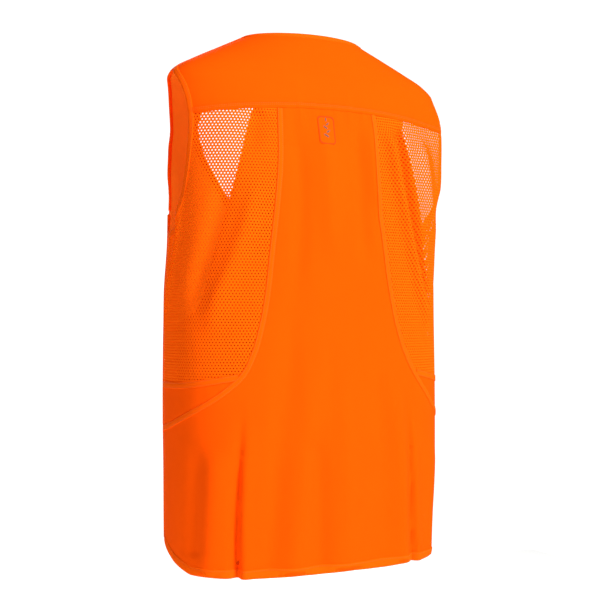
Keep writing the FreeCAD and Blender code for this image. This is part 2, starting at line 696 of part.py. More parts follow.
# ---------------------------------------------------------------- chest tab with a D-ring
turn = facing_out(1, dim("ring_turn"))
ring_x, ring_y, ring_z = dim("ring_along"), -dim("ring_out"), dim("ring_z")
half_tab = dim("tab_width") / 2
loop_in = dim("ring_wire") + dim("tab_play")
loop_out = loop_in + dim("tab_cloth")
sleeve = rod("sleeve", loop_out, (ring_x - half_tab, ring_y, ring_z), dim("tab_width"), ACROSS)
bore_low = (ring_x - half_tab - 1, ring_y, ring_z)
sleeve_bore = rod("sleeve_bore", loop_in, bore_low, dim("tab_width") + 2, ACROSS)
strap = block("strap", (ring_x - half_tab, ring_y + loop_in - 0.4, ring_z),
              (ring_x + half_tab, ring_y + loop_out + 0.6, ring_z + dim("tab_height")))
ring_tab = without("ring_tab_solid", together("ring_tab_whole", sleeve, strap), sleeve_bore)
ring_tab.Placement = turn
keep(without("ring_tab_cut", ring_tab, front_panels["left"]), "chest_tab")

radius, wire = dim("ring_radius"), dim("ring_wire")
bow = doc.addObject("Part::Torus", "ring_bow")
bow.Radius1 = radius
bow.Radius2 = wire
bow.Angle3 = 180
hanging = Rotation(Vector(1, 0, 0), Vector(0, 0, -1), Vector(0, 1, 0), "XZY")
bow.Placement = Placement(Vector(ring_x, ring_y, ring_z), hanging)
bar = rod("ring_bar", wire, (ring_x - radius, ring_y, ring_z), 2 * radius, ACROSS)
ring = together("ring", bow, bar)
ring.Placement = turn
keep(ring, "d_ring")

# ---------------------------------------------------------------- checks and files
doc.recompute()
for item in doc.Objects:
    if "Invalid" in item.State or "Error" in item.State:
        raise RuntimeError("failed: %s %s" % (item.Name, item.State))
for item in subparts:
    if item.Shape.isNull() or not item.Shape.isValid() or not item.Shape.Solids:
        raise RuntimeError("bad shape: " + item.Label)

os.makedirs("parts", exist_ok=True)
for item in subparts:
    item.Shape.exportStep("parts/%s.step" % item.Label)
    print(item.Label, len(item.Shape.Solids), round(item.Shape.Volume))
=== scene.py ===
"""The looks of a blaze orange field vest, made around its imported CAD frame.

All cloth lies on one surface: the body form of the CAD, plus a field of folds, hollows and seam
grooves. A point of it has an angle phi (0 is +X, the wearer's left, and pi/2 is the back) and a
height z. The making is in millimetres, and build() turns it into metres.
"""

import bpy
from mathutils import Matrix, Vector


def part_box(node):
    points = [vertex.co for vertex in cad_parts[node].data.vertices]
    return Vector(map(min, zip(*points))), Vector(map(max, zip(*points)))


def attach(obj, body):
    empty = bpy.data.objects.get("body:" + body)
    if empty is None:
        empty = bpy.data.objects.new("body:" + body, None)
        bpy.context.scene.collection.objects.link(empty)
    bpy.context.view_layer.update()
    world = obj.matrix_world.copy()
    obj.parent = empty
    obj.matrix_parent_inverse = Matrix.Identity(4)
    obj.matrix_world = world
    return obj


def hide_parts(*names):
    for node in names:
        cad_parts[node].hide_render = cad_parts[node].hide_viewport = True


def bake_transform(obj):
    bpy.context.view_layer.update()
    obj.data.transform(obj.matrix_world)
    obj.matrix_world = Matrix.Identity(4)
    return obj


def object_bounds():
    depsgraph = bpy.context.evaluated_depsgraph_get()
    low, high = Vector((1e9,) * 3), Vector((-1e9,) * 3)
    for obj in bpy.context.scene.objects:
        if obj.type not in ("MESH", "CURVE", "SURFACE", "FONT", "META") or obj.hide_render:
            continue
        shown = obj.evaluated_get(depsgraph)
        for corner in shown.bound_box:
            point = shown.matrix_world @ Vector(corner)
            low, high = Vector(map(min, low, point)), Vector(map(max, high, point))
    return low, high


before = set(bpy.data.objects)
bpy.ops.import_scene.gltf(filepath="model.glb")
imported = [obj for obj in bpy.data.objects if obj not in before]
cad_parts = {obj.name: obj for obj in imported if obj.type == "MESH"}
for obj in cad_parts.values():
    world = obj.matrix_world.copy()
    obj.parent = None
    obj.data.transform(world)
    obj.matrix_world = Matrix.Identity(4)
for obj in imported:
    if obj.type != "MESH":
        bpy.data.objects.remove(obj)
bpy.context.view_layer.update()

import math
import bpy
import bmesh
import numpy as np
from mathutils import Vector

MM = 0.001
PI = math.pi
SIDES = {"left": 1, "right": -1}

# ---------------------------------------------------------------- camera, light and floor
scene = bpy.context.scene
camera = bpy.data.objects.new("camera", bpy.data.cameras.new("camera"))
scene.collection.objects.link(camera)
scene.camera = camera
TURN = math.radians(27.5)
camera.location = (0.7974, 1.5317, -0.4016)
look = Vector((-math.sin(TURN), -math.cos(TURN), 0))
camera.rotation_euler = look.to_track_quat("-Z", "Y").to_euler()
camera.data.lens = 71.1
camera.data.shift_x = 0.002
camera.data.shift_y = 0.0305
camera.data.clip_start = 0.05
camera.data.clip_end = 60


def soft_light(name, place, aim, size, power, tint=(1, 1, 1)):
    """A large square lamp that points at a place."""
    lamp = bpy.data.lights.new(name, "AREA")
    lamp.size = size
    lamp.energy = power
    lamp.color = tint
    holder = bpy.data.objects.new(name, lamp)
    holder.location = place
    holder.rotation_euler = (Vector(aim) - Vector(place)).to_track_quat("-Z", "Y").to_euler()
    scene.collection.objects.link(holder)
    return holder


CENTRE = (0, 0, -0.38)
soft_light("key_light", (-0.75, 2.3, 1.1), CENTRE, 0.8, 108)
soft_light("fill_light", (2.5, 0.5, 0.3), CENTRE, 1.0, 12)
soft_light("front_light", (-0.5, -2.5, 0.7), CENTRE, 1.3, 80)
world = bpy.data.worlds.new("studio")
world.use_nodes = True
sky_nodes, sky_links = world.node_tree.nodes, world.node_tree.links
room = sky_nodes["Background"]
room.inputs["Color"].default_value = (1, 1, 1, 1)
room.inputs["Strength"].default_value = 0.16
backdrop = sky_nodes.new("ShaderNodeBackground")
backdrop.inputs["Color"].default_value = (1, 1, 1, 1)
backdrop.inputs["Strength"].default_value = 1.15
rays = sky_nodes.new("ShaderNodeLightPath")
either = sky_nodes.new("ShaderNodeMixShader")
sky_links.new(rays.outputs["Is Camera Ray"], either.inputs[0])
sky_links.new(room.outputs[0], either.inputs[1])
sky_links.new(backdrop.outputs[0], either.inputs[2])
sky_links.new(either.outputs[0], sky_nodes["World Output"].inputs[0])
scene.world = world
scene.view_settings.view_transform = "Standard"
scene.view_settings.look = "None"

# ---------------------------------------------------------------- the body form
# height, half width, depth behind, depth before, middle y
ROWS = np.array([
    (-760, 199, 121, 123, -8), (-700, 200.5, 121.5, 125, -6), (-610, 202, 122, 128, -3),
    (-496, 204, 113, 131, 0), (-366, 203, 106, 133, 2), (-286, 199, 105, 137, 6),
    (-186, 201, 98, 134, 10), (-126, 205, 90, 124, 10), (-91, 209, 82, 110, 9),
    (-68, 208, 75, 96, 8), (-54, 196, 71, 88, 6), (-38, 167, 67, 80, 3),
    (-19, 128, 61, 72, 0), (0, 90, 55, 66, -5), (12, 70, 51, 62, -7)], float)
ROW_Z, ROW_V = ROWS[:, 0], ROWS[:, 1:]


def row_slopes():
    """Slopes for a cubic through the rows that doesn't overshoot."""
    step = np.diff(ROW_Z)[:, None]
    slope = np.diff(ROW_V, axis=0) / step
    inner = np.zeros_like(ROW_V)
    a, b = slope[:-1], slope[1:]
    same = a * b > 0
    inner[1:-1] = np.where(same, 2 * a * b / np.where(same, a + b, 1), 0)
    inner[0], inner[-1] = slope[0], slope[-1]
    return inner


ROW_S = row_slopes()


def cubic(t, h, start, start_slope, end, end_slope):
    """A cubic over the length h, where t runs from 0 to 1."""
    return ((2 * t ** 3 - 3 * t ** 2 + 1) * start + (t ** 3 - 2 * t ** 2 + t) * h * start_slope
            + (3 * t ** 2 - 2 * t ** 3) * end + (t ** 3 - t ** 2) * h * end_slope)


def rows_at(z):
    """Half width, depth behind, depth before and middle at heights z."""
    z = np.clip(z, ROW_Z[0], ROW_Z[-1])
    i = np.clip(np.searchsorted(ROW_Z, z) - 1, 0, len(ROW_Z) - 2)
    h = ROW_Z[i + 1] - ROW_Z[i]
    t = ((z - ROW_Z[i]) / h)[..., None]
    h = h[..., None]
    value = cubic(t, h, ROW_V[i], ROW_S[i], ROW_V[i + 1], ROW_S[i + 1])
    return value[..., 0], value[..., 1], value[..., 2], value[..., 3]


def fullness(z, behind):
    """The exponent of the rounded section."""
    full = np.where(behind, 2.7, 2.2)
    return full + (2.0 - full) * np.clip((z + 186) / 186, 0, 1)


def form(phi, z):
    """Points of the bare body form."""
    phi, z = np.broadcast_arrays(np.asarray(phi, float), np.asarray(z, float))
    wide, back, fore, middle = rows_at(z)
    side, deep = np.cos(phi), np.sin(phi)
    n = fullness(z, deep > 0)
    reach = np.where(deep > 0, back, fore)
    radius = (np.abs(side / wide) ** n + np.abs(deep / reach) ** n) ** (-1 / n)
    return np.stack([radius * side, middle + radius * deep, z], -1)


def unit(v):
    return v / np.maximum(np.linalg.norm(v, axis=-1, keepdims=True), 1e-9)


def distances(points):
    """How far along a line each of its points lies."""
    return np.concatenate([[0], np.cumsum(np.linalg.norm(np.diff(points, axis=0), axis=1))])


def slopes(phi, z):
    """The form's change for a small change of phi, and of z."""
    e, d = 1e-3, 0.5
    return (form(phi + e, z) - form(phi - e, z)) / (2 * e), (form(phi, z + d) - form(phi, z - d)) / (2 * d)


def outward(phi, z):
    """The form's normal."""
    across, up = slopes(phi, z)
    return unit(np.cross(across, up))


def behind_at(x, z):
    """phi of the back's point with this x."""
    x, z = np.asarray(x, float), np.asarray(z, float)
    wide, back, _, _ = rows_at(z)
    n = fullness(z, True)
    y = back * np.maximum(1 - np.minimum(np.abs(x) / wide, 1) ** n, 0) ** (1 / n)
    return np.arctan2(y, x)


def before_at(x, z):
    """phi of the front's point with this x: between -pi/2 and 0 on the left, above pi on the right."""
    x, z = np.asarray(x, float), np.asarray(z, float)
    wide, _, fore, _ = rows_at(z)
    n = fullness(z, False)
    y = fore * np.maximum(1 - np.minimum(np.abs(x) / wide, 1) ** n, 0) ** (1 / n)
    angle = np.arctan2(-y, x)
    return np.where(x < 0, angle + 2 * PI, angle)


def beside_at(side, y, z):
    """phi of the side's point with this y."""
    y, z = np.asarray(y, float), np.asarray(z, float)
    wide, back, fore, middle = rows_at(z)
    deep = y - middle
    n = fullness(z, deep > 0)
    reach = np.where(deep > 0, back, fore)
    x = wide * np.maximum(1 - np.minimum(np.abs(deep) / reach, 1) ** n, 0) ** (1 / n)
    angle = np.arctan2(deep, x)
    return angle if side > 0 else PI - angle


def back_line(points):
    """phi and z of points given as x and z on the back."""
    p = np.array(points, float)
    return np.stack([behind_at(p[:, 0], p[:, 1]), p[:, 1]], 1)


def front_line(points):
    """phi and z of points given as x and z on the front."""
    p = np.array(points, float)
    return np.stack([before_at(p[:, 0], p[:, 1]), p[:, 1]], 1)


def side_line(side, points):
    """phi and z of points given as y and z at one side."""
    p = np.array(points, float)
    return np.stack([beside_at(side, p[:, 0], p[:, 1]), p[:, 1]], 1)


def curve(points, count=0, step=3.0):
    """A smooth line through points (phi, z), as evenly spaced points."""
    p = np.asarray(points, float)
    place = form(p[:, 0], p[:, 1])
    chord = np.maximum(np.linalg.norm(np.diff(place, axis=0), axis=1), 1e-6)
    t = np.concatenate([[0], np.cumsum(chord)])
    m = np.zeros_like(p)
    slope = np.diff(p, axis=0) / chord[:, None]
    m[0], m[-1] = slope[0], slope[-1]
    if len(p) > 2:
        w = chord[:, None]
        m[1:-1] = (slope[:-1] * w[1:] + slope[1:] * w[:-1]) / (w[1:] + w[:-1])
    s = np.linspace(0, t[-1], 40 * len(p))
    i = np.clip(np.searchsorted(t, s) - 1, 0, len(p) - 2)
    h = chord[i][:, None]
    q = (s - t[i])[:, None] / h
    return even(cubic(q, h, p[i], m[i], p[i + 1], m[i + 1]), count, step)


def even(line, count=0, step=3.0):
    """The same line with evenly spaced points."""
    length = distances(form(line[:, 0], line[:, 1]))
    count = count or max(2, int(length[-1] / step) + 1)
    s = np.linspace(0, length[-1], count)
    return np.stack([np.interp(s, length, line[:, 0]), np.interp(s, length, line[:, 1])], 1)


def joined(*lines):
    """Lines end to end, without their shared points."""
    return np.concatenate([lines[0]] + [line[1:] for line in lines[1:]])


# ---------------------------------------------------------------- lines of the pattern
def yoke_z(x):
    """The yoke seam, which drops towards the armholes."""
    return -112 - 14 * (np.asarray(x, float) / 200.5) ** 2


def hem_z(y):
    """The hem, which climbs to the side seam."""
    return np.interp(y, [-112, -88, -48, -30, 5, 45, 90], [-721, -711, -704, -711, -727, -739, -741])


BAND = {1: [(85.5, float(yoke_z(85.5))), (89, -175), (95, -240), (102, -307), (108.7, -373), (117, -413),
            (125, -440), (141, -472), (158, -489), (177, -505)],
        -1: [(66, float(yoke_z(66))), (66, -170), (68, -236), (79, -302), (93, -372), (104, -415),
             (115, -443), (131, -470), (155, -498), (173, -517)]}
BAND_SIDE = {1: [(43, -524), (0, -539), (-47.6, -548)], -1: [(43, -536), (0, -548), (-47.6, -556)]}
MESH_CORNER = {1: (144, -471), -1: (134, -469)}
NECK = [(96.5, -18), (104, -42), (120, -88), (127, -118), (118, -144), (98, -173), (72, -206), (10.5, -268)]
ARM_BACK = [(0.3, -56), (6, -57), (25, -69), (42, -95), (48, -125), (46, -170), (37, -216), (18, -258),
            (-20, -280), (-40, -266), (-47.6, -251)]
ARM_FRONT = [(-49.5, -245), (-52, -200), (-52, -130), (-38, -84), (-14, -61), (-2.5, -57)]
ARM_ON_YOKE = (47.6, -123.0)
SEAM_Y = -48.0


def band_path(side, count=0, step=3.0):
    """The outer edge of a lapped band, from the yoke down to the side seam."""
    first = back_line([(side * x, z) for x, z in BAND[side]])
    return curve(np.concatenate([first, side_line(side, BAND_SIDE[side])]), count, step)


def yoke_path(low, high, count=60):
    """The yoke seam between two x, from the wearer's left to the right when low > high."""
    x = np.linspace(low, high, 40)
    return even(back_line(np.stack([x, yoke_z(x)], 1)), count)


# ---------------------------------------------------------------- the field of folds
GRID_PHI = np.linspace(-1.72, PI + 1.72, 1000)
GRID_Z = np.linspace(-750, 0, 601)
GRID_AT = form(GRID_PHI[None, :], GRID_Z[:, None])
FIELD = np.zeros(GRID_AT.shape[:2])


def ease(t):
    """A smooth step from 0 to 1."""
    t = np.clip(t, 0, 1)
    return t * t * (3 - 2 * t)


def near(line, reach):
    """Grid points near a line: their window, distance, side and how far along they lie."""
    at = form(line[:, 0], line[:, 1])
    least_radius = 75.0
    low, high = line.min(0), line.max(0)
    i0, i1 = np.searchsorted(GRID_Z, [low[1] - reach, high[1] + reach])
    j0, j1 = np.searchsorted(GRID_PHI, [low[0] - reach / least_radius, high[0] + reach / least_radius])
    window = (slice(i0, i1), slice(j0, j1))
    here = GRID_AT[window].reshape(-1, 3)
    best = np.full(len(here), 1e9)
    which = np.zeros(len(here), int)
    for k in range(len(at)):
        d = ((here - at[k]) ** 2).sum(1)
        closer = d < best
        best[closer] = d[closer]
        which[closer] = k
    along = unit(np.gradient(at, axis=0))
    normal = outward(line[:, 0], line[:, 1])
    sideways = unit(np.cross(normal, along))
    gap = here - at[which]
    signed = (gap * sideways[which]).sum(1)
    shape = GRID_AT[window].shape[:2]
    spot = np.sqrt(best) * np.where(signed >= 0, 1, -1)
    return window, spot.reshape(shape), (which / (len(at) - 1)).reshape(shape)


FOLD_DEPTH = 1.5
AT_HEM = 0.001     # the fade at the low end of a fold that runs right to the hem


def fold(points, height, width, other=None, start=0.15, stop=0.15, grow=0.0):
    """A ridge, or a hollow where height is negative, that fades out at both ends."""
    line = curve(points, step=4.0)
    other = other or width
    window, spot, along = near(line, 3 * max(width, other))
    wide = np.where(spot > 0, width, other)
    fade = ease(along / max(start, 1e-3)) * ease((1 - along) / max(stop, 1e-3))
    fade *= 1 + grow * (along - 0.5)
    FIELD[window] += FOLD_DEPTH * height * fade * np.exp(-(spot / wide) ** 2)


def groove(points, depth=0.5, width=2.2):
    """The dip of a sewn seam."""
    line = even(points, step=3.0)
    window, spot, _ = near(line, 4 * width)
    FIELD[window] -= depth * np.exp(-(spot / width) ** 2)


def pucker(points, height, width, pitch, seed):
    """Small gathers across a seam, which fade away from it."""
    line = even(points, step=3.0)
    window, spot, along = near(line, 3 * width)
    length = 3.0 * len(line)
    rng = np.random.RandomState(seed)
    wave = sum(math.cos(seed + k) * np.sin(2 * PI * along * length / (pitch * s) + rng.rand() * 6)
               for k, s in enumerate((1.0, 1.37, 0.73, 2.1)))
    FIELD[window] += 0.35 * height * wave * np.exp(-(np.abs(spot) / width) ** 1.3)


def swell(low, high, count, height, seed, z_low, z_high):
    """Broad upright waves of hanging cloth between two heights."""
    rng = np.random.RandomState(seed)
    span = (GRID_PHI > low) & (GRID_PHI < high)
    t = (GRID_PHI - low) / (high - low)
    rise = ease((z_high - GRID_Z) / 180) * ease((GRID_Z - z_low + 60) / 60)
    edge = ease(t / 0.12) * ease((1 - t) / 0.12)
    total = np.zeros_like(FIELD)
    for k in range(3):
        lean = rng.uniform(-0.25, 0.25)
        phase = rng.rand() * 2 * PI
        turns = count * (0.7 + 0.5 * k)
        down = (GRID_Z[:, None] - z_low) / 600
        total += np.sin(2 * PI * turns * (t[None, :] + lean * down) + phase) / (1 + k)
    total *= (edge * span)[None, :] * rise[:, None]
    FIELD[:] += 0.6 * height * total


# Each fold is its height, its width on either side, how its ends fade, and its line.
for height, width, other, start, stop, line in (
        # The right mesh panel: a long slanting fold, with the hollow beyond it.
        (6.5, 9, 10, 0.12, 0.25, [(-84, -122), (-90, -160), (-97, -200), (-107, -240), (-121, -290),
                                  (-140, -345), (-158, -400), (-170, -450)]),
        (-7.5, 8, 12, 0.1, 0.3, [(-108, -118), (-112, -160), (-119, -205), (-131, -255), (-147, -310),
                                 (-164, -365), (-180, -420)]),
        (4.0, 14, 14, 0.2, 0.4, [(-150, -135), (-160, -190), (-172, -250), (-184, -300)]),
        # The left mesh panel: a soft slanting ridge, and hollows by the side seam and under the yoke.
        (5.0, 15, 12, 0.3, 0.3, [(118, -200), (128, -250), (144, -305), (160, -350), (172, -385),
                                 (180, -430)]),
        (-3.5, 13, 13, 0.3, 0.3, [(150, -180), (163, -240), (176, -300), (188, -350), (194, -400)]),
        (-3.0, 14, 14, 0.1, 0.5, [(112, -118), (120, -150), (135, -190)])):
    fold(back_line(line), height, width, other, start, stop)
for side, height, width, other, line in (
        (1, 3.5, 8, 12, [(33, -220), (24, -258), (8, -318), (-8, -372), (-26, -425)]),
        (1, -3.5, 8, 9, [(20, -232), (8, -268), (-8, -325), (-26, -380), (-36, -430)]),
        (-1, -4.5, 10, 12, [(30, -230), (14, -290), (-4, -350), (-20, -420)]),
        (-1, 4.0, 12, 12, [(52, -230), (40, -300), (20, -370), (0, -430)])):
    fold(side_line(side, line), height, width, other, 0.2, 0.3)
# The gathers below the yoke and the long soft lines of the middle panel.
for height, width, line in (
        (-3.51, 13, [(60, -114), (58, -170), (56, -250), (60, -340), (64, -390)]),
        (3.51, 15, [(22, -116), (18, -180), (14, -260), (10, -330)]),
        (-2.97, 12, [(-30, -120), (-34, -190), (-38, -260), (-46, -340)]),
        (2.16, 10, [(-54, -116), (-56, -170), (-64, -260)]),
        (-3.51, 17, [(58, -330), (68, -430), (84, -540), (96, -640), (104, -741)]),
        (2.97, 17, [(30, -400), (40, -500), (56, -620), (66, -741)]),
        (-3.51, 16, [(40, -540), (36, -600), (32, -670), (28, -741)]),
        (2.97, 26, [(0, -380), (-6, -500), (-10, -620), (-10, -741)]),
        (-2.7, 18, [(-60, -440), (-66, -540), (-70, -640), (-72, -741)]),
        (2.43, 14, [(-92, -480), (-97, -560), (-102, -640), (-106, -741)]),
        (2.97, 16, [(170, -560), (174, -640), (176, -741)]),
        (-2.43, 14, [(188, -560), (190, -640), (190, -715)]),
        (2.7, 18, [(-165, -560), (-168, -640), (-170, -741)])):
    fold(back_line(line), height, width, None, 0.25, 0.25 if line[-1][1] > -700 else AT_HEM)
# The pleats: a steep inner edge that stands over a hollow.
PLEAT = {1: [(138, -500), (139, -545), (143, -610), (144, -663), (142, -745)],
         -1: [(-113, -470), (-118, -569), (-124, -654), (-132, -745)]}
for pleat_side, depth in ((1, 5.2), (-1, 3.4)):
    line = back_line(PLEAT[pleat_side])
    fold(line, -depth, 2.0, 11.0, 0.5, AT_HEM, 0.9)
    lip = back_line([(x - 7, z) for x, z in PLEAT[pleat_side]])
    fold(lip, depth * 0.3, 9, 4, 0.5, AT_HEM, 0.6)
# The front: soft slanting folds from the shoulders to the chest, and upright ones below.
for side in (1, -1):
    for height, width, other, start, stop, line in (
            (3.5, 16, 14, 0.3, 0.5, [(150, -110), (140, -180), (124, -250), (104, -330)]),
            (-3.0, 14, 14, 0.3, 0.4, [(172, -130), (166, -210), (156, -290), (140, -380)]),
            (1.8, 20, 20, 0.4, 0.4, [(60, -280), (58, -380), (62, -470)])):
        fold(front_line([(side * x, z) for x, z in line]), height, width, other, start, stop)
swell(0.75, PI - 0.75, 4.5, 0.8, 3, -741, -300)

# The right armhole's edge stands away from the shoulder, and the hem turns in at the right.
fold(side_line(-1, [(22, -70), (38, -95), (46, -125), (45, -170), (40, -225), (34, -270)]),
     7.5, 28, 26, 0.3, 0.35)
fold(side_line(-1, [(52, -610), (50, -680), (46, -741)]), -5.0, 26, 26, 0.7, AT_HEM)
fold(side_line(1, [(-52, -130), (-50, -170), (-46, -230)]), 2.0, 24, 24, 0.3, 0.4)
# The facing behind the badge shows as a crease, with gathers above it.
groove(back_line([(80, -165), (40, -169), (-10, -170), (-62, -166)]), 0.8, 2.6)
pucker(yoke_path(78, -60), 1.5, 26, 27, 4)

for side in (1, -1):
    groove(band_path(side), 0.5)
    pucker(band_path(side), 0.5, 9, 17, 5 + side)
groove(yoke_path(198, -198), 0.7, 2.5)
pucker(yoke_path(198, -198), 0.55, 11, 15, 11)

# The cloth stays on the form at the neck, the zip and the armholes' upper ends.
calm = ease(-GRID_Z / 60)[:, None] * np.ones_like(FIELD)
calm *= ease((np.abs(GRID_AT[..., 0]) - 18) / 40) * (GRID_AT[..., 1] < 0) + (GRID_AT[..., 1] >= 0)
FIELD *= calm


def drape(phi, z):
    """How far the cloth stands out from the form."""
    a = np.clip((phi - GRID_PHI[0]) / (GRID_PHI[1] - GRID_PHI[0]), 0, len(GRID_PHI) - 1.001)
    b = np.clip((z - GRID_Z[0]) / (GRID_Z[1] - GRID_Z[0]), 0, len(GRID_Z) - 1.001)
    j, i = a.astype(int), b.astype(int)
    u, v = a - j, b - i
    return ((FIELD[i, j] * (1 - u) + FIELD[i, j + 1] * u) * (1 - v)
            + (FIELD[i + 1, j] * (1 - u) + FIELD[i + 1, j + 1] * u) * v)


def cloth_at(phi, z, lift=0.0):
    """Points of the draped cloth, lifted along its normal."""
    phi, z = np.broadcast_arrays(np.asarray(phi, float), np.asarray(z, float))
    return form(phi, z) + outward(phi, z) * (drape(phi, z) + lift)[..., None]


def walk(phi, z, step):
    """The point reached from (phi, z) by a 3-D step along the surface."""
    for _ in range(2):
        across, up = slopes(phi, z)
        aa, ab, bb = (across * across).sum(-1), (across * up).sum(-1), (up * up).sum(-1)
        sa, sb = (step * across).sum(-1), (step * up).sum(-1)
        det = aa * bb - ab * ab
        phi = phi + (sa * bb - sb * ab) / det / 2
        z = z + (sb * aa - sa * ab) / det / 2
    return phi, z


# ---------------------------------------------------------------- materials
# The orange finishes give off red and orange light of their own: partly the fluorescence of the blaze orange
# dye, partly painted fill light that lifts their shade.
FLUORESCENCE_AND_FILL_GLOW = (1.0, 0.06, 0.0)
ORANGE_GLOW_BLUE_LIMIT = 0.01     # finishes with less blue than this glow in that orange, partly fluorescence and partly painted fill light; the others glow in their own colour


def material(name, colour, rough, pitch=0.0, bump=0.0, sheen=0.0, metallic=0.0, blotch=0.05, specular=0.15,
             twill=False, grain=0.0, glow=0.0):
    """A procedural finish: a woven or grained surface, with slight changes of colour.

    pitch is the weave's, in millimetres.
    """
    mat = bpy.data.materials.new(name)
    mat.use_nodes = True
    nodes, links = mat.node_tree.nodes, mat.node_tree.links
    shader = nodes["Principled BSDF"]
    shader.inputs["Metallic"].default_value = metallic
    shader.inputs["Specular IOR Level"].default_value = specular
    shader.inputs["Sheen Weight"].default_value = sheen
    shader.inputs["Sheen Roughness"].default_value = 0.5
    shader.inputs["Sheen Tint"].default_value = (*colour, 1)
    # The emission of an orange finish is partly fluorescence and partly painted fill light that lifts its
    # shade.
    shader.inputs["Emission Color"].default_value = (*(FLUORESCENCE_AND_FILL_GLOW if colour[2] < ORANGE_GLOW_BLUE_LIMIT else colour), 1)
    shader.inputs["Emission Strength"].default_value = glow
    where = nodes.new("ShaderNodeTexCoord")
    cloudy = nodes.new("ShaderNodeTexNoise")
    cloudy.inputs["Scale"].default_value = 14
    cloudy.inputs["Detail"].default_value = 5
    links.new(where.outputs["Object"], cloudy.inputs["Vector"])
    tone = nodes.new("ShaderNodeMix")
    tone.data_type = "RGBA"
    tone.inputs["A"].default_value = (*[c * (1 - blotch) for c in colour], 1)
    tone.inputs["B"].default_value = (*[min(1, c * (1 + blotch)) for c in colour], 1)
    links.new(cloudy.outputs["Fac"], tone.inputs["Factor"])
    last = tone.outputs["Result"]
    heights = []
    if pitch:
        scale = 2 * PI / (20 * pitch * MM)
        waves = []
        for direction in ("X", "Y"):
            wave = nodes.new("ShaderNodeTexWave")
            wave.bands_direction = "DIAGONAL" if twill and direction == "X" else direction
            wave.inputs["Scale"].default_value = scale
            wave.inputs["Distortion"].default_value = 0.6
            wave.inputs["Detail"].default_value = 1
            links.new(where.outputs["UV"], wave.inputs["Vector"])
            waves.append(wave)
        weave = nodes.new("ShaderNodeMath")
        weave.operation = "MULTIPLY"
        links.new(waves[0].outputs["Fac"], weave.inputs[0])
        links.new(waves[1].outputs["Fac"], weave.inputs[1])
        heights.append(weave.outputs[0])
        shade = nodes.new("ShaderNodeMix")
        shade.data_type = "RGBA"
        shade.blend_type = "MULTIPLY"
        shade.inputs["B"].default_value = (0.93, 0.86, 0.8, 1)
        links.new(weave.outputs[0], shade.inputs["Factor"])
        links.new(last, shade.inputs["A"])
        last = shade.outputs["Result"]
    fine = nodes.new("ShaderNodeTexNoise")
    fine.inputs["Scale"].default_value = 900 if pitch else 260
    fine.inputs["Detail"].default_value = 3
    links.new(where.outputs["Object"], fine.inputs["Vector"])
    rough_range = nodes.new("ShaderNodeMapRange")
    rough_range.inputs["To Min"].default_value = rough - 0.06
    rough_range.inputs["To Max"].default_value = min(1, rough + 0.08)
    links.new(fine.outputs["Fac"], rough_range.inputs["Value"])
    links.new(rough_range.outputs["Result"], shader.inputs["Roughness"])
    links.new(last, shader.inputs["Base Color"])
    heights.append(fine.outputs["Fac"])
    if bump or grain:
        total = nodes.new("ShaderNodeMath")
        total.operation = "MULTIPLY_ADD"
        links.new(heights[-1], total.inputs[0])
        total.inputs[1].default_value = 0.5 if grain == 0 else grain
        if len(heights) > 1:
            links.new(heights[0], total.inputs[2])
        relief = nodes.new("ShaderNodeBump")
        relief.inputs["Strength"].default_value = bump or 0.2
        relief.inputs["Distance"].default_value = 0.0002
        links.new(total.outputs[0], relief.inputs["Height"])
        links.new(relief.outputs["Normal"], shader.inputs["Normal"])
    return mat


CLOTH = {"specular": 0.02}
METAL = {"rough": 0.35, "bump": 0.15, "metallic": 1.0, "specular": 0.5}
# The glow of each orange finish is partly the dye's fluorescence and partly painted fill light that lifts its
# shade.
FINISH = {name: material(name, **look) for name, look in {
    "orange_cloth": dict(CLOTH, colour=(0.95, 0.088, 0.0005), rough=0.9, pitch=0.55, bump=0.35, glow=0.14),
    "orange_mesh": dict(CLOTH, colour=(0.98, 0.128, 0.0015), rough=0.88, pitch=0.4, bump=0.35, glow=0.2),
    "orange_binding": dict(CLOTH, colour=(0.98, 0.112, 0.0012), rough=0.85, pitch=0.8, bump=0.5, glow=0.12),
    # The lining's finish is a darker copy of the orange cloth: painted shade for the dim space behind the
    # mesh and inside the front.
    "orange_lining": dict(CLOTH, colour=(0.7, 0.045, 0.001), rough=0.85, pitch=0.35, bump=0.25, glow=0.03),
    # The finish of the fronts' inner faces is a lighter, glowing copy of the orange cloth: painted light that
    # lifts the shade inside the vest.
    "orange_inside_painted_light": dict(CLOTH, colour=(0.8, 0.2, 0.012), rough=0.85, pitch=0.5, bump=0.3, glow=0.3),
    "thread": dict(colour=(0.97, 0.12, 0.004), rough=0.6, bump=0.4, sheen=0.2, grain=1.0, specular=0.2),
    "patch": dict(CLOTH, colour=(0.95, 0.088, 0.0006), rough=0.85, pitch=0.6, bump=0.4, glow=0.22),
    "patch_edge": dict(colour=(0.62, 0.055, 0.004), rough=0.75, pitch=0.5, bump=0.5, specular=0.05),
    "patch_mark": dict(colour=(0.24, 0.1, 0.062), rough=0.7, pitch=0.45, bump=0.5, specular=0.1),
    "label": dict(colour=(0.8, 0.78, 0.74), rough=0.45, pitch=0.3, bump=0.3, sheen=0.2, twill=True,
                  specular=0.3),
    "zip_tape": dict(colour=(0.88, 0.07, 0.0015), rough=0.8, pitch=0.7, bump=0.6, sheen=0.1, twill=True,
                     specular=0.1),
    "zip_plastic": dict(colour=(0.85, 0.075, 0.002), rough=0.35, bump=0.15, grain=0.4, specular=0.4),
    "zip_metal": dict(METAL, colour=(0.3, 0.3, 0.31), grain=0.5),
    "snap_metal": dict(METAL, colour=(0.2, 0.19, 0.18), rough=0.42, bump=0.2, grain=0.8),
}.items()}


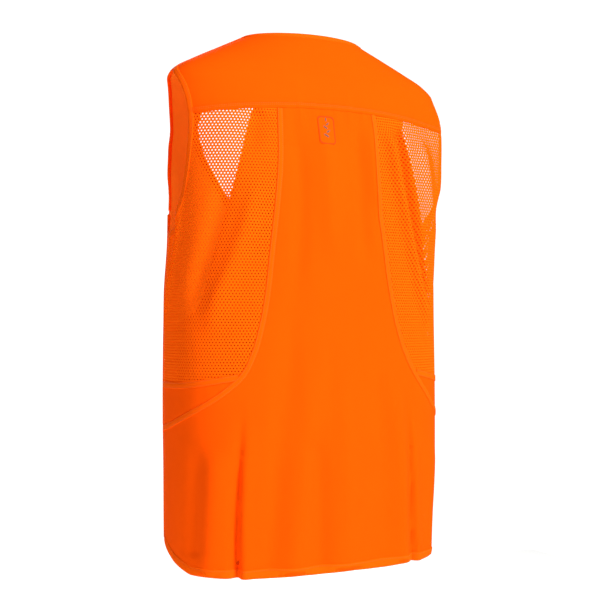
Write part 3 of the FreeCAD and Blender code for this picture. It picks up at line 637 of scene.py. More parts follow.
# ---------------------------------------------------------------- making pieces
def build(name, points, faces, finish, body, stands_for=(), uv=None, more=None):
    """stands_for lists the nodes that it replaces, and more is a second finish and which faces have it.
    """
    mesh = bpy.data.meshes.new(name)
    points = np.asarray(points, float).reshape(-1, 3)
    mesh.from_pydata((points * MM).tolist(), [], [list(map(int, f)) for f in faces])
    if uv is None:
        uv = points[:, [0, 2]]
    uv = np.asarray(uv, float).reshape(-1, 2) * MM
    mesh.materials.append(FINISH[finish])
    if more is not None:
        mesh.materials.append(FINISH[more[0]])
        mesh.polygons.foreach_set("material_index", np.asarray(more[1], int))
    layer = mesh.uv_layers.new(name="UVMap")
    index = np.zeros(len(mesh.loops), int)
    mesh.loops.foreach_get("vertex_index", index)
    layer.data.foreach_set("uv", uv[index].astype(np.float32).ravel())
    sewn = bmesh.new()
    sewn.from_mesh(mesh)
    bmesh.ops.recalc_face_normals(sewn, faces=sewn.faces)
    sewn.to_mesh(mesh)
    sewn.free()
    mesh.polygons.foreach_set("use_smooth", np.ones(len(mesh.polygons), bool))
    mesh.set_sharp_from_angle(angle=math.radians(48))
    mesh.validate()
    piece = bpy.data.objects.new(name, mesh)
    scene.collection.objects.link(piece)
    if stands_for:
        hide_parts(*stands_for)
    if isinstance(body, str):
        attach(piece, body)
    else:
        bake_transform(piece)
    return piece


def pairs(u, v):
    """Two lists or grids of numbers, or one and a single number, as pairs."""
    return np.stack(np.broadcast_arrays(np.asarray(u, float), np.asarray(v, float)), -1)


def box_mm(node):
    """A node's lowest and highest corners in millimetres."""
    low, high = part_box(node)
    return np.array(low) / MM, np.array(high) / MM


def grid_faces(rows, columns, base=0, ring=False):
    """Quads of a grid of points. A ring joins the last column to the first."""
    i, j = np.meshgrid(np.arange(rows - 1), np.arange(columns if ring else columns - 1), indexing="ij")
    k = (j + 1) % columns
    quads = np.stack([i * columns + j, i * columns + k, (i + 1) * columns + k, (i + 1) * columns + j], -1)
    return (base + quads).reshape(-1, 4)


def tube_faces(rows, columns, base=0):
    """Quads round a grid of rings, and a face over each end."""
    ends = [tuple(range(base + start, base + start + columns)) for start in (0, (rows - 1) * columns)]
    return [tuple(f) for f in grid_faces(rows, columns, base, True)] + ends


def border(rows, columns):
    """The outline of a grid, once round."""
    grid = np.arange(rows * columns).reshape(rows, columns)
    return np.concatenate([grid[0], grid[1:, -1], grid[-1, -2::-1], grid[-2:0:-1, 0]])


def two_skins(outer, inner):
    """Points and faces of a closed sheet between two grids of points."""
    rows, columns = outer.shape[:2]
    count = rows * columns
    points = np.concatenate([outer.reshape(-1, 3), inner.reshape(-1, 3)])
    rim = border(rows, columns)
    after = np.roll(rim, -1)
    wall = np.stack([after, rim, rim + count, after + count], 1)
    faces = grid_faces(rows, columns)
    return points, np.concatenate([faces, faces[:, ::-1] + count, wall])


def thick(grid, thickness):
    """Points and faces of a closed sheet about a grid of points."""
    half = unit(np.cross(np.gradient(grid, axis=1), np.gradient(grid, axis=0))) * thickness / 2
    return two_skins(grid + half, grid - half)


def skins_uv(u, v):
    """Places on the weave for both skins of a sheet."""
    return np.concatenate([pairs(u, v).reshape(-1, 2)] * 2)


# Distances round the waist, so that a weave keeps its size.
ARC = distances(form(GRID_PHI, np.full(len(GRID_PHI), -420.0)))


def patch(bottom, right, top, left, columns, rows):
    """A grid of (phi, z) inside four lines. Bottom and top run the same way, and so do the sides."""
    b, t = even(bottom, columns), even(top, columns)
    r, l = even(right, rows), even(left, rows)
    u = np.linspace(0, 1, columns)[None, :, None]
    v = np.linspace(0, 1, rows)[:, None, None]
    ruled = (1 - v) * b[None] + v * t[None] + (1 - u) * l[:, None] + u * r[:, None]
    corners = ((1 - u) * (1 - v) * b[0] + u * (1 - v) * b[-1] + (1 - u) * v * t[0] + u * v * t[-1])
    return ruled - corners


def panel(name, grid, lift, thickness, finish, body, stands_for=(), inside=None):
    """A cloth panel. lift is its outer face's, as a number or a grid, and inside its inner face's finish."""
    phi, z = grid[..., 0], grid[..., 1]
    points, faces = two_skins(cloth_at(phi, z, lift), cloth_at(phi, z, lift - thickness))
    more = None
    if inside:
        skin = (grid.shape[0] - 1) * (grid.shape[1] - 1)
        more = (inside, [int(skin <= k < 2 * skin) for k in range(len(faces))])
    uv = skins_uv(np.interp(phi, GRID_PHI, ARC), z)
    return build(name, points, faces, finish, body, stands_for, uv, more)


def beside(path):
    """The way to the side of each point of a path."""
    phi, z = path[:, 0], path[:, 1]
    return unit(np.cross(outward(phi, z), unit(np.gradient(form(phi, z), axis=0))))


def strip(name, path, section, finish, body, stands_for=()):
    """A closed strip along a path. section lists how far sideways and out each of its edges lies."""
    phi, z = path[:, 0], path[:, 1]
    sideways = beside(path)
    length = distances(form(phi, z))
    points = np.stack([cloth_at(*walk(phi, z, sideways * w), lift) for w, lift in section], 1)
    uv = np.stack([pairs(length, w) for w, _ in section], 1)
    return build(name, points, tube_faces(*points.shape[:2]), finish, body, stands_for, uv)


def turned_edge(width, height, sign=1):
    """The section of a sewn-down strip with soft edges and a stitched dip near each."""
    dip = height - 0.28
    points = [(0.0, -0.1), (0.15, 0.55 * height), (0.7, height), (1.5, dip), (2.3, height),
              (width / 2, height * 1.05), (width - 2.3, height), (width - 1.5, dip), (width - 0.7, height),
              (width - 0.15, 0.55 * height), (width, -0.1)]
    return [(sign * w, lift) for w, lift in points]


def wrapped(width, sign=1, height=0.9):
    """The section of a binding that wraps round a raw edge, with a stitched dip at its outer side."""
    cloth = 1.2
    dip = width - 2.0
    points = [(width, 0.0), (width - 0.3, 0.5 * height), (width - 1.0, height), (dip, height - 0.3),
              (dip - 1.2, height), (1.0, height * 1.1), (-0.2, height * 0.8), (-1.0, 0.1), (-1.2, -cloth / 2),
              (-1.0, -cloth - 0.1), (-0.2, -cloth - 0.8 * height), (1.0, -cloth - height),
              (width - 1.0, -cloth - height), (width - 0.3, -cloth - 0.5 * height), (width, -cloth)]
    return [(sign * w, lift) for w, lift in points]


def both_halves(half):
    """A whole section from one half, whose last point is the middle."""
    return half + [(-w, lift) for w, lift in half[-2::-1]]


# ---------------------------------------------------------------- stitches
THREAD = {}
THREAD_SIDES = 5
THREAD_WIDE, THREAD_TALL, THREAD_SINK = 0.34, 0.24, 0.35
# A stitch is four rings: their places along it, and their sizes.
RING_AT = np.array([-0.5, -0.3, 0.3, 0.5])[:, None, None]
RING_SIZE = np.array([0.3, 1.0, 1.0, 0.3])[:, None, None]


def stitches(key, at, normal, pitch=3.0, length=2.3):
    """A row of thread stitches along points. key names the piece that gathers them."""
    distance = distances(at)
    count = int(distance[-1] / pitch)
    if count < 1:
        return
    s = (np.arange(count) + 0.5) * distance[-1] / count

    def pick(values):
        return np.stack([np.interp(s, distance, values[:, k]) for k in range(3)], 1)[:, None, None]

    forward, up = unit(pick(unit(np.gradient(at, axis=0)))), unit(pick(normal))
    turn = np.arange(THREAD_SIDES)[:, None] * 2 * PI / THREAD_SIDES
    across = np.cos(turn) * THREAD_WIDE * np.cross(up, forward) + np.sin(turn) * THREAD_TALL * up
    points = (pick(at) + RING_AT * length * forward + RING_SIZE * across
              + (RING_SIZE - 1.0) * THREAD_SINK * up)
    THREAD.setdefault(key, []).append(points.reshape(count, -1, 3))


def stitch_along(key, path, w, lift):
    """A row of stitches beside a path on the cloth, w to its side."""
    p, q = walk(path[:, 0], path[:, 1], beside(path) * w)
    stitches(key, cloth_at(p, q, lift), outward(p, q))


def stitch_line(key, line, out, **size):
    """A row of stitches along a line, all facing the same way."""
    stitches(key, line, np.broadcast_to(out, line.shape), **size)


def finish_thread(key, body):
    """Turns the gathered rows of stitches into one piece."""
    blocks = np.concatenate(THREAD[key])
    count = blocks.shape[1]
    one = tube_faces(len(RING_AT), THREAD_SIDES)
    faces = [tuple(v + k * count for v in f) for k in range(len(blocks)) for f in one]
    return build(key + "_stitching", blocks, faces, "thread", body)


# ---------------------------------------------------------------- the yoke and the centre panel
SHOULDER_Y = 0.3
BACK_SEAM_Y = SEAM_Y + 0.4
ARM = {side: curve(side_line(side, ARM_BACK), step=2.0) for side in (1, -1)}


def front_body(side_name):
    """The body given to a front piece: the back, its front, and two heights, at the shoulder and below the
    armhole.
    """
    return ("back", "front_" + side_name, (0, 0, -0.05), (0, 0, -0.25))


def hem_path(lift=0.0):
    """The hem of the back, from the left side seam round the back to the right one."""
    y = np.linspace(BACK_SEAM_Y, 60, 30)
    at_side = pairs(y, hem_z(y) + lift)
    x = np.linspace(168, -168, 60)
    behind = pairs(x, np.interp(np.abs(x), [0, 150, 175], [-741, -741, -740]) + lift)
    path = np.concatenate([side_line(1, at_side), back_line(behind), side_line(-1, at_side)[::-1]])
    return even(path[np.argsort(path[:, 0])])


def yoke_side(side):
    """A side of the yoke: up the armhole to the shoulder, then up the shoulder seam."""
    arm = ARM[side]
    later_half = np.arange(len(arm)) > len(arm) * 0.5
    split = int(np.argmin(np.abs(arm[:, 1] - ARM_ON_YOKE[1]) + later_half * 1e3))
    shoulder = side_line(side, pairs(SHOULDER_Y, np.linspace(-56, -0.3, 120)))
    return joined(even(arm[:split + 1][::-1], 40), even(shoulder, 50))


neck_back = pairs(np.linspace(beside_at(1, SHOULDER_Y, 0), beside_at(-1, SHOULDER_Y, 0), 60), 0)
yoke_bottom = joined(side_line(1, [ARM_ON_YOKE]), yoke_path(196, -196, 80))
yoke_grid = patch(yoke_bottom, yoke_side(-1), neck_back, yoke_side(1), 110, 64)
panel("back_yoke_cloth", yoke_grid, 0.0, 1.1, "orange_cloth", "back", ["back_yoke"])

hem = hem_path()
centre_sides = {}
for side in (1, -1):
    below_band = side_line(side, pairs(BACK_SEAM_Y, [float(hem_z(BACK_SEAM_Y)), BAND_SIDE[side][-1][1]]))
    centre_sides[side] = joined(even(below_band, 30), band_path(side)[::-1])
centre_top = yoke_path(BAND[1][0][0], -BAND[-1][0][0])
centre_grid = patch(hem, centre_sides[-1], centre_top, centre_sides[1], 190, 200)
panel("centre_back_cloth", centre_grid, -0.05, 1.1, "orange_cloth", "back", ["centre_back_panel"])

strip("yoke_lap", yoke_path(194, -194, 200), turned_edge(8.5, 0.8), "orange_cloth", "back")
for w in (4.4, 6.6):
    stitch_along("back", yoke_path(193, -193, 200), w, 0.8)

# ---------------------------------------------------------------- the mesh panels
ARM_MIDDLE = (-3.0, -170.0)


def in_mesh(side, phi, z):
    """Which places lie inside a mesh panel, a little under the strips that cover its edges."""
    at = form(phi, z)
    x, y = at[:, 0] * side, at[:, 1]
    band = band_path(side, 200)
    edge_x = np.interp(-z, -band[:, 1], form(band[:, 0], band[:, 1])[:, 0] * side)
    inside = z < yoke_z(np.minimum(x, 200)) + 5.0
    inside &= x > edge_x - np.where(z > -440, 3.5, 2.0)
    inside &= z > np.interp(x, [MESH_CORNER[side][0], 200, 260], [-470, -482, -486]) - 4.0
    inside &= y > SEAM_Y + 3.0
    arm = form(ARM[side][:, 0], ARM[side][:, 1])[:, 1:] - ARM_MIDDLE
    away = pairs(y, z) - ARM_MIDDLE
    arm_angle, angle = np.arctan2(arm[:, 1], arm[:, 0]), np.arctan2(away[:, 1], away[:, 0])
    order = np.argsort(arm_angle)
    reach = np.interp(angle, arm_angle[order], np.hypot(*arm.T)[order])
    in_front = (angle > arm_angle.max()) | (angle < arm_angle.min())
    middle_of_back = x <= 150
    inside &= middle_of_back | (np.hypot(*away.T) > reach + 2.2)
    inside &= middle_of_back | ~in_front | (z <= -262)
    return inside


def hexagon(half_x, half_z, tip_z):
    """The corners of a cell that stands on its tip."""
    return np.array([(half_x, half_z), (0, tip_z), (-half_x, half_z),
                     (-half_x, -half_z), (0, -tip_z), (half_x, -half_z)])


def mesh_knit(side_name, side):
    """A warp-knit panel with real six-sided holes. Cells share their corners, and each has a hole."""
    pitch, row = 4.5, 3.8
    cell, hole = hexagon(pitch / 2, 1.16, row - 1.16), hexagon(1.08, 0.6, 1.2)
    ends = [beside_at(1, SEAM_Y, -300), behind_at(60, -300)] if side > 0 else [
        behind_at(-50, -300), beside_at(-1, SEAM_Y, -300)]
    s_low, s_high = np.interp(ends, GRID_PHI, ARC)
    columns = np.arange(math.floor(s_low / pitch) - 1, math.ceil(s_high / pitch) + 2)
    rows = np.arange(math.floor(-486 / row), math.ceil(-108 / row) + 1)
    centres = np.array([((c + 0.5 * (r % 2)) * pitch, r * row) for r in rows for c in columns])
    centres = centres[in_mesh(side, np.interp(centres[:, 0], ARC, GRID_PHI), centres[:, 1])]
    outer = (centres[:, None] + cell).reshape(-1, 2)
    inner = (centres[:, None] + hole).reshape(-1, 2)
    corners = np.round(outer * 4).astype(int)
    _, first, knots = np.unique(corners, axis=0, return_index=True, return_inverse=True)
    knots = knots.reshape(-1, 6)
    holes = len(first) + np.arange(len(inner)).reshape(-1, 6)
    flat = np.concatenate([outer[first], inner])
    phi = np.interp(flat[:, 0], ARC, GRID_PHI)
    dip = np.concatenate([np.zeros(len(first)), np.full(len(inner), 0.2)])
    points = np.concatenate([cloth_at(phi, flat[:, 1], -0.1 - dip),
                             cloth_at(phi, flat[:, 1], -1.3 + 0.8 * dip)])
    under = len(flat)
    faces, edges = [], []
    for k in range(6):
        m = (k + 1) % 6
        a, b, c, d = knots[:, k], knots[:, m], holes[:, m], holes[:, k]
        faces += [np.stack([a, b, c, d], 1), np.stack([d, c, b, a], 1) + under,
                  np.stack([d, c, c + under, d + under], 1)]
        edges.append(np.stack([a, b], 1))
    edges = np.concatenate(edges)
    _, start, times = np.unique(np.sort(edges, 1), axis=0, return_index=True, return_counts=True)
    a, b = edges[start[times == 1]].T
    faces.append(np.stack([b, a, a + under, b + under], 1))
    build(side_name + "_mesh_knit", points, np.concatenate(faces), "orange_mesh", "back",
          [side_name + "_mesh_panel"], np.concatenate([flat, flat]))


for side_name, side in SIDES.items():
    mesh_knit(side_name, side)

# ---------------------------------------------------------------- bands, side panels and bindings
for side_name, side in SIDES.items():
    path = band_path(side, step=2.5)
    strip(side_name + "_lapped_strip", path, turned_edge(8.0, 1.15, side), "orange_binding", "back",
          [side_name + "_lapped_band"])
    for w in (1.6, 6.4):
        stitch_along("back", path, side * w, 1.0)

    corner = MESH_CORNER[side]
    seam = curve(np.concatenate([
        back_line([(side * corner[0], corner[1]), (side * 168, -476)]),
        side_line(side, [(30, -483), (-5, -484), (SEAM_Y + 0.6, -485)])]), step=2.5)
    low_side = side_line(side, pairs(BACK_SEAM_Y, [BAND_SIDE[side][-1][1] + 1, -485]))
    band = band_path(side, 300)
    corner_at = int(np.argmin(np.abs(form(band[:, 0], band[:, 1])[:, 0] * side - corner[0] + 3)))
    lower = band[corner_at:]
    side_grid = patch(lower, low_side, seam, np.stack([lower[0], seam[0]]), 60, 22)
    panel(side_name + "_side_cloth", side_grid, -0.1, 1.0, "orange_cloth", "back",
          [side_name + "_side_panel"])
    strip(side_name + "_mesh_seam_strip", seam, turned_edge(9.0, 0.9, side), "orange_binding", "back",
          [side_name + "_mesh_seam_tape"])
    for w in (1.6, 7.4):
        stitch_along("back", seam, side * w, 0.8)

    strip(side_name + "_back_arm_binding", ARM[side], wrapped(7.0, side), "orange_binding", "back",
          [side_name + "_back_armhole_binding"])
    stitch_along("back", ARM[side], side * 5.0, 0.75)

strip("back_hem_strip", hem, wrapped(11.0, 1, 0.8), "orange_binding", "back", ["back_hem_band"])
stitch_along("back", hem, 9.0, 0.65)
strip("back_neck_strip", neck_back, wrapped(7.0, -1), "orange_binding", "back", ["back_neck_binding"])
stitch_along("back", neck_back, -5.0, 0.75)

# ---------------------------------------------------------------- the game pocket's lining
LINING = [(116, -110.7), (145, -206), (176, -316), (193, -385)]
lining_sides = {}
for side in (1, -1):
    up = side_line(side, pairs(SEAM_Y + 1, [-688, -600, -500, -412]))
    over = np.concatenate([side_line(side, [(SEAM_Y + 1, -412), (0, -404)]),
                           back_line([(side * x, z) for x, z in LINING[::-1]])])
    lining_sides[side] = joined(even(up, 60), curve(over, 90))
lining_low = hem_path(15.0)
lining_grid = patch(lining_low, lining_sides[-1], yoke_path(116, -116) + (0, 6.0), lining_sides[1], 100, 120)
lining_z = lining_grid[..., 1]
from_hem = lining_z - np.interp(np.linspace(0, 1, 100), np.linspace(0, 1, len(lining_low)), lining_low[:, 1])
# It hangs inside the pocket, and comes up to the cloth at the hem and at the yoke.
lining_lift = -10.4 + 8.6 * ease((34 - from_hem) / 34) + 7.5 * ease((lining_z + 132) / 18)
# Its finish is darker than the cloth: painted shade behind the mesh holes.
panel("game_pocket_sheet", lining_grid, lining_lift, 0.8, "orange_lining", "back",
      ["game_pocket_lining", "game_pocket_floor"])


# ---------------------------------------------------------------- small pieces on the back
def rounded_rectangle(half_x, half_z, radius, n=8):
    """The outline of a rectangle with round corners."""
    points = []
    for start, (x, z) in enumerate(((1, 1), (-1, 1), (-1, -1), (1, -1))):
        for k in range(n + 1):
            angle = (start + k / n) * PI / 2
            points.append((x * (half_x - radius) + radius * math.cos(angle),
                           z * (half_z - radius) + radius * math.sin(angle)))
    return np.array(points)


def on_back(flat, lift):
    """Points of the back at flat x and z."""
    flat = np.asarray(flat, float)
    return cloth_at(behind_at(flat[..., 0], flat[..., 1]), flat[..., 1], lift)


BADGE_AT = (16.0, -142.0)
BADGE_HALF = np.array([13, 20])
rim = rounded_rectangle(*BADGE_HALF, 5)
# The badge's rings, from its edge to its middle: an even inset near the edge, a scale further in.
rings = [rim * (1 - (1 - size) * BADGE_HALF[0] / BADGE_HALF) + BADGE_AT
         for size in (1, 1, 0.97, 0.93, 0.86, 0.82, 0.6)]
rings += [rim * size + BADGE_AT for size in (0.3, 0.02)]
ring_lifts = np.array([0.0, 0.6, 0.95, 1.0, 0.55, 0.5, 0.55, 0.6, 0.6])
badge_faces = tube_faces(len(rings), len(rim))
framed = [int(len(f) == 4 and 2 <= f[0] // len(rim) <= 3) for f in badge_faces]
build("blank_badge", on_back(np.stack(rings), ring_lifts[:, None]), badge_faces, "patch", "back",
      ["blank_patch"], more=("patch_edge", framed))


def leaf(cx, cz, length, wide, angle):
    """A leaf's outline, on a stem at cx, cz."""
    t = np.linspace(0, 2 * PI, 14, endpoint=False)
    x = length / 2 * np.cos(t)
    z = wide / 2 * np.sin(t) * (1 - 0.35 * np.cos(t))
    c, s = math.cos(angle), math.sin(angle)
    return np.stack([cx + (x + 2.6) * c - z * s, cz + (x + 2.6) * s + z * c], 1)


# The sprig on the badge: raised leaves, one above another.
leaf_points, leaf_faces = [], []
for look in ((16, -151, 9, 3.2, 0.5), (16, -145, 8, 3, 2.5), (16, -139.5, 7.5, 2.8, 0.6),
             (16, -134.5, 6.5, 2.4, 2.45), (16, -129.5, 6, 2.2, 1.57)):
    outline = leaf(*look)
    middle = outline.mean(0)
    leaf_faces += tube_faces(3, len(outline), 3 * len(outline) * len(leaf_points))
    leaf_points.append(np.concatenate([on_back(middle + (outline - middle) * size, lift)
                                       for size, lift in ((1, 0.45), (1, 0.8), (0.75, 0.9))]))
build("badge_mark", np.concatenate(leaf_points), leaf_faces, "patch_mark", "back")

low, high = box_mm("hanger_loop")
u = np.linspace(-1, 1, 61)
plan_y = low[1] + 0.7 + (high[1] - low[1] - 1.0) * ease((np.abs(u) - 0.72) / 0.2)
sag = -0.9 * (1 - np.clip(np.abs(u) / 0.8, 0, 1) ** 2)
strap_z = np.linspace(low[2] + 1.0, high[2] - 0.1, 7)[:, None] + sag
points, faces = thick(np.stack(np.broadcast_arrays(u * (high[0] - 0.3), plan_y, strap_z), -1), 1.0)
build("hanger_strap", points, faces, "orange_binding", "back", ["hanger_loop"])

low, high = box_mm("care_label")
u = np.linspace(low[0], high[0], 25)
v = np.linspace(low[2] - 0.2, high[2] + 0.2, 21)[:, None]
bow = low[1] + 0.3 + 1.2 * np.sin((v - v[0]) / (v[-1] - v[0]) * PI) * np.cos(u / 30)
points, faces = thick(np.stack(np.broadcast_arrays(u, bow, v), -1), 0.5)
build("care_label_sheet", points, faces, "label", "back", ["care_label"])

# ---------------------------------------------------------------- front panels
EDGE_X = 10.5
FACING_X = 46.0
FRONT_SEAM_Y = SEAM_Y - 1.8
for side_name, side in SIDES.items():
    body = front_body(side_name)
    front = "front_" + side_name
    y = np.linspace(FRONT_SEAM_Y, -105, 24)
    low = np.concatenate([side_line(side, pairs(y, hem_z(y))),
                          front_line(pairs(side * np.linspace(105, EDGE_X, 40), -722.0))])
    low = even(low[np.argsort(-side * low[:, 0])], 90)
    seam_up = even(side_line(side, pairs(FRONT_SEAM_Y, [-704.5, -600, -480, -360, -247])), 120)
    arm = curve(side_line(side, ARM_FRONT), 70)
    outer_edge = joined(seam_up, arm)
    neck_top = side_line(side, [(-2.5, -0.5), (-14, -1.2), (-24, -3.0)])
    neck = curve(np.concatenate([neck_top, front_line([(side * x, z) for x, z in NECK])]), 90)
    front_edge = even(front_line(pairs(side * EDGE_X, np.linspace(-722, -268, 30))), 120)
    inner_edge = joined(front_edge, neck[::-1])
    top = side_line(side, pairs(-2.5, np.linspace(outer_edge[-1][1], inner_edge[-1][1], 40)))
    front_grid = patch(low, inner_edge, top, outer_edge, 96, 180)
    # Its inner face has the lighter, glowing inside finish: painted light in the shade inside the vest.
    panel(side_name + "_front_cloth", front_grid, 0.0, 1.1, "orange_cloth", body,
          [side_name + "_front_panel"], "orange_inside_painted_light")

    hem_fine, neck_fine = even(low, step=3.0), even(neck, step=2.5)
    strip(side_name + "_front_hem_strip", hem_fine, wrapped(11.0, -side, 0.8), "orange_binding", front,
          [side_name + "_front_hem_band"])
    stitch_along(front, hem_fine, -side * 9.0, 0.65)
    strip(side_name + "_front_neck_strip", neck_fine, wrapped(7.0, side), "orange_binding", body,
          [side_name + "_front_neck_binding"])
    stitch_along("upper_" + side_name, neck_fine, side * 5.0, 0.75)
    strip(side_name + "_front_arm_binding", even(arm, step=2.5), wrapped(7.0, side), "orange_binding", body,
          [side_name + "_front_armhole_binding"])
    stitch_along(front, even(front_edge, step=2.5), -side * 6.0, 0.05)

    facing_out = even(front_line(pairs(side * (EDGE_X + 0.6), np.linspace(-717, -270, 20))), 120)
    facing_out = joined(facing_out, neck[::-1])
    inner_neck = np.stack(walk(neck[:, 0], neck[:, 1], beside(neck) * side * 12.0), 1)[::-1]
    facing_in = joined(even(front_line(pairs(side * FACING_X, np.linspace(-717, -285, 20))), 120),
                       inner_neck[inner_neck[:, 1] > -240])
    facing_grid = patch(np.stack([facing_out[0], facing_in[0]]), facing_in,
                        np.stack([facing_out[-1], facing_in[-1]]), facing_out, 14, 170)
    # The facing has the darker lining finish: painted shade inside the front.
    panel(side_name + "_facing_cloth", facing_grid, -2.3, 0.9, "orange_lining", body,
          [side_name + "_front_facing"])

# ---------------------------------------------------------------- the zip
# The sections of a tooth: how far in, how tall and how deep each is.
TOOTH = ((0.0, 0.55, 0.5), (0.25, 0.95, 0.72), (0.95, 0.6, 0.8), (1.35, 0.85, 1.05), (2.9, 0.85, 1.05),
         (3.15, 0.6, 0.8))
TOOTH_PITCH = 2.9
TOOTH_SIDES = 8
for side_name, side in SIDES.items():
    low, high = box_mm(side_name + "_tooth_chain")
    inner_x = low[0] if side > 0 else high[0]
    middle_y = (low[1] + high[1]) / 2
    count = int((high[2] - low[2]) / TOOTH_PITCH)
    first = (low[2] + high[2] - (count - 1) * TOOTH_PITCH) / 2
    turn = (np.arange(TOOTH_SIDES) + 0.5) * 2 * PI / TOOTH_SIDES
    tooth = np.array([[(inner_x + side * x, middle_y + 1.08 * deep * math.sin(a), 1.08 * tall * math.cos(a))
                       for a in turn] for x, tall, deep in TOOTH]).reshape(-1, 3)
    heights = pairs(0, first + TOOTH_PITCH * np.arange(count))[:, [0, 0, 1]]
    one = tube_faces(len(TOOTH), TOOTH_SIDES)
    faces = [tuple(v + len(tooth) * k for v in f) for k in range(count) for f in one]
    build(side_name + "_zip_teeth", tooth + heights[:, None], faces, "zip_plastic", "front_" + side_name,
          [side_name + "_tooth_chain"])

    low, high = box_mm(side_name + "_zip_tape")
    x = np.linspace(side * 6.6, high[0] if side > 0 else low[0], 12)
    z = np.linspace(low[2] + 0.3, high[2] - 0.3, 120)[:, None]
    tape = pairs(before_at(*np.broadcast_arrays(x, z)), z)
    panel(side_name + "_zip_ribbon", tape, -1.45, 0.7, "zip_tape", "front_" + side_name,
          [side_name + "_zip_tape"])


# ---------------------------------------------------------------- pockets, flaps and chest tab
def turned(side, turn, along, out, z):
    """A point from its place along a plane turned outward, its distance out, and its height."""
    angle = math.radians(side * turn)
    along, out, z = np.broadcast_arrays(*[np.asarray(values, float) for values in (along, out, z)])
    return np.stack([along * math.cos(angle) + out * math.sin(angle),
                     along * math.sin(angle) - out * math.cos(angle), z], -1)


def facing(side, turn):
    """The way out of a turned plane."""
    return turned(side, turn, 0, 1, 0)


def body_out(side, turn, along, z):
    """How far out the form lies behind a place on a turned plane, found by halving."""
    along, z = np.broadcast_arrays(np.asarray(along, float), np.asarray(z, float))
    near_in, far_out = np.full(along.shape, 60.0), np.full(along.shape, 175.0)
    wide, back, fore, middle = rows_at(z)
    for _ in range(24):
        guess = (near_in + far_out) / 2
        at = turned(side, turn, along, guess, z)
        deep = at[..., 1] - middle
        n = fullness(z, deep > 0)
        inside = (np.abs(at[..., 0]) / wide) ** n + (np.abs(deep) / np.where(deep > 0, back, fore)) ** n < 1
        near_in, far_out = np.where(inside, guess, near_in), np.where(inside, far_out, guess)
    return near_in


POCKET_TURN, TAB_TURN = 20.0, 24.0
POCKET_X, POCKET_HALF, POCKET_OUT = 58.0, 62.0, 154.0
FLAP_HALF, FLAP_SEAM_Z, SNAP_Z = 59.6, -541.0, -582.0
# How far out and how high a flap lies, from its seam down to its lower edge.
FLAP_DROP = np.array([(147.6, FLAP_SEAM_Z), (151.5, -544.5), (156.0, -550.0), (157.6, -556.0),
                      (157.8, -570.0), (157.8, -584.0), (157.9, -598.0)])


def across_pocket(side, a, b):
    """How far along its plane a place on a pocket lies. The pocket draws in a little at its foot."""
    return side * POCKET_X + a * POCKET_HALF * (1 - 0.012 * np.clip(1 - b * 4, 0, 1))


def on_pocket(side, span, a, b, lift=0.0, dip=0.0):
    """Places on a pocket's front, a from -1 to 1 across it and b from 0 to 1 up it.

    span is its lowest and highest z, and dip how far its lower corners lie back.
    """
    puff = (1 - a ** 4) * np.sin(np.clip(b * 1.15, 0, 1) * PI) ** 0.6
    ripple = np.sin(a * 9 + b * 3) * 0.5 * (1 - b) * (1 - a ** 2)
    corner = np.clip((np.abs(a) - 0.86) / 0.14, 0, 1) ** 2 * np.clip((0.1 - b) / 0.1, 0, 1)
    out = POCKET_OUT - 0.8 + 1.6 * puff + ripple - dip * corner + lift
    return turned(side, POCKET_TURN, across_pocket(side, a, b), out, span[0] + (span[1] - span[0]) * b)


def pocket(side_name, side, out_way):
    """A pocket's front, its gusset folded inward, and the stitches round it."""
    body = "front_" + side_name
    low, high = box_mm(side_name + "_bellows_pocket")
    span = np.array([low[2] + 0.6, high[2]])
    tall = high[2] - low[2]
    a, b = np.linspace(-1, 1, 61), np.linspace(0, 1, 67)[:, None]
    points, faces = thick(on_pocket(side, span, a, b, dip=3.0), 1.1)
    build(side_name + "_pocket_front", points, faces, "orange_cloth", body, [side_name + "_bellows_pocket"],
          skins_uv(across_pocket(side, a, b), span[0] + (span[1] - span[0]) * b))

    t = np.linspace(0, 1, 30)
    loop = joined(pairs(-1, 1 - t), pairs(2 * t - 1, 0), pairs(1, t))
    x, z = side * POCKET_X + loop[:, 0] * POCKET_HALF, span[0] + (span[1] - span[0]) * loop[:, 1]
    inward = pairs(-loop[:, 0] * (np.abs(loop[:, 0]) > 0.99), loop[:, 1] < 0.01)
    inward /= np.maximum(np.linalg.norm(inward, axis=1, keepdims=True), 1)
    root = body_out(side, POCKET_TURN, x, z) + 0.3
    depth = np.linspace(0, 1, 11)[:, None]
    tuck = 5.0 * np.sin(depth * PI) ** 1.5 * np.clip((POCKET_OUT - root) / 12, 0.1, 1) + 0.6
    gusset = turned(side, POCKET_TURN, x + inward[:, 0] * tuck,
                    POCKET_OUT - 0.9 + (root - POCKET_OUT + 0.9) * depth, z + inward[:, 1] * tuck)
    points, faces = thick(gusset, 1.0)
    build(side_name + "_pocket_gusset", points, faces, "orange_cloth", body,
          uv=skins_uv(distances(pairs(x, z)), depth * 14))

    for inset in (2.0, 5.0):
        edge, low_b = 1 - inset / POCKET_HALF, inset / tall
        row = joined(pairs(-edge, np.linspace(1, low_b, 40)), pairs(np.linspace(-edge, edge, 60), low_b),
                     pairs(edge, np.linspace(low_b, 1, 40)))
        stitch_line(body, on_pocket(side, span, row[:, 0], row[:, 1], 0.6), out_way)
    stitch_line(body, on_pocket(side, span, np.linspace(-0.97, 0.97, 80), 1 - 13 / tall, 0.6), out_way)


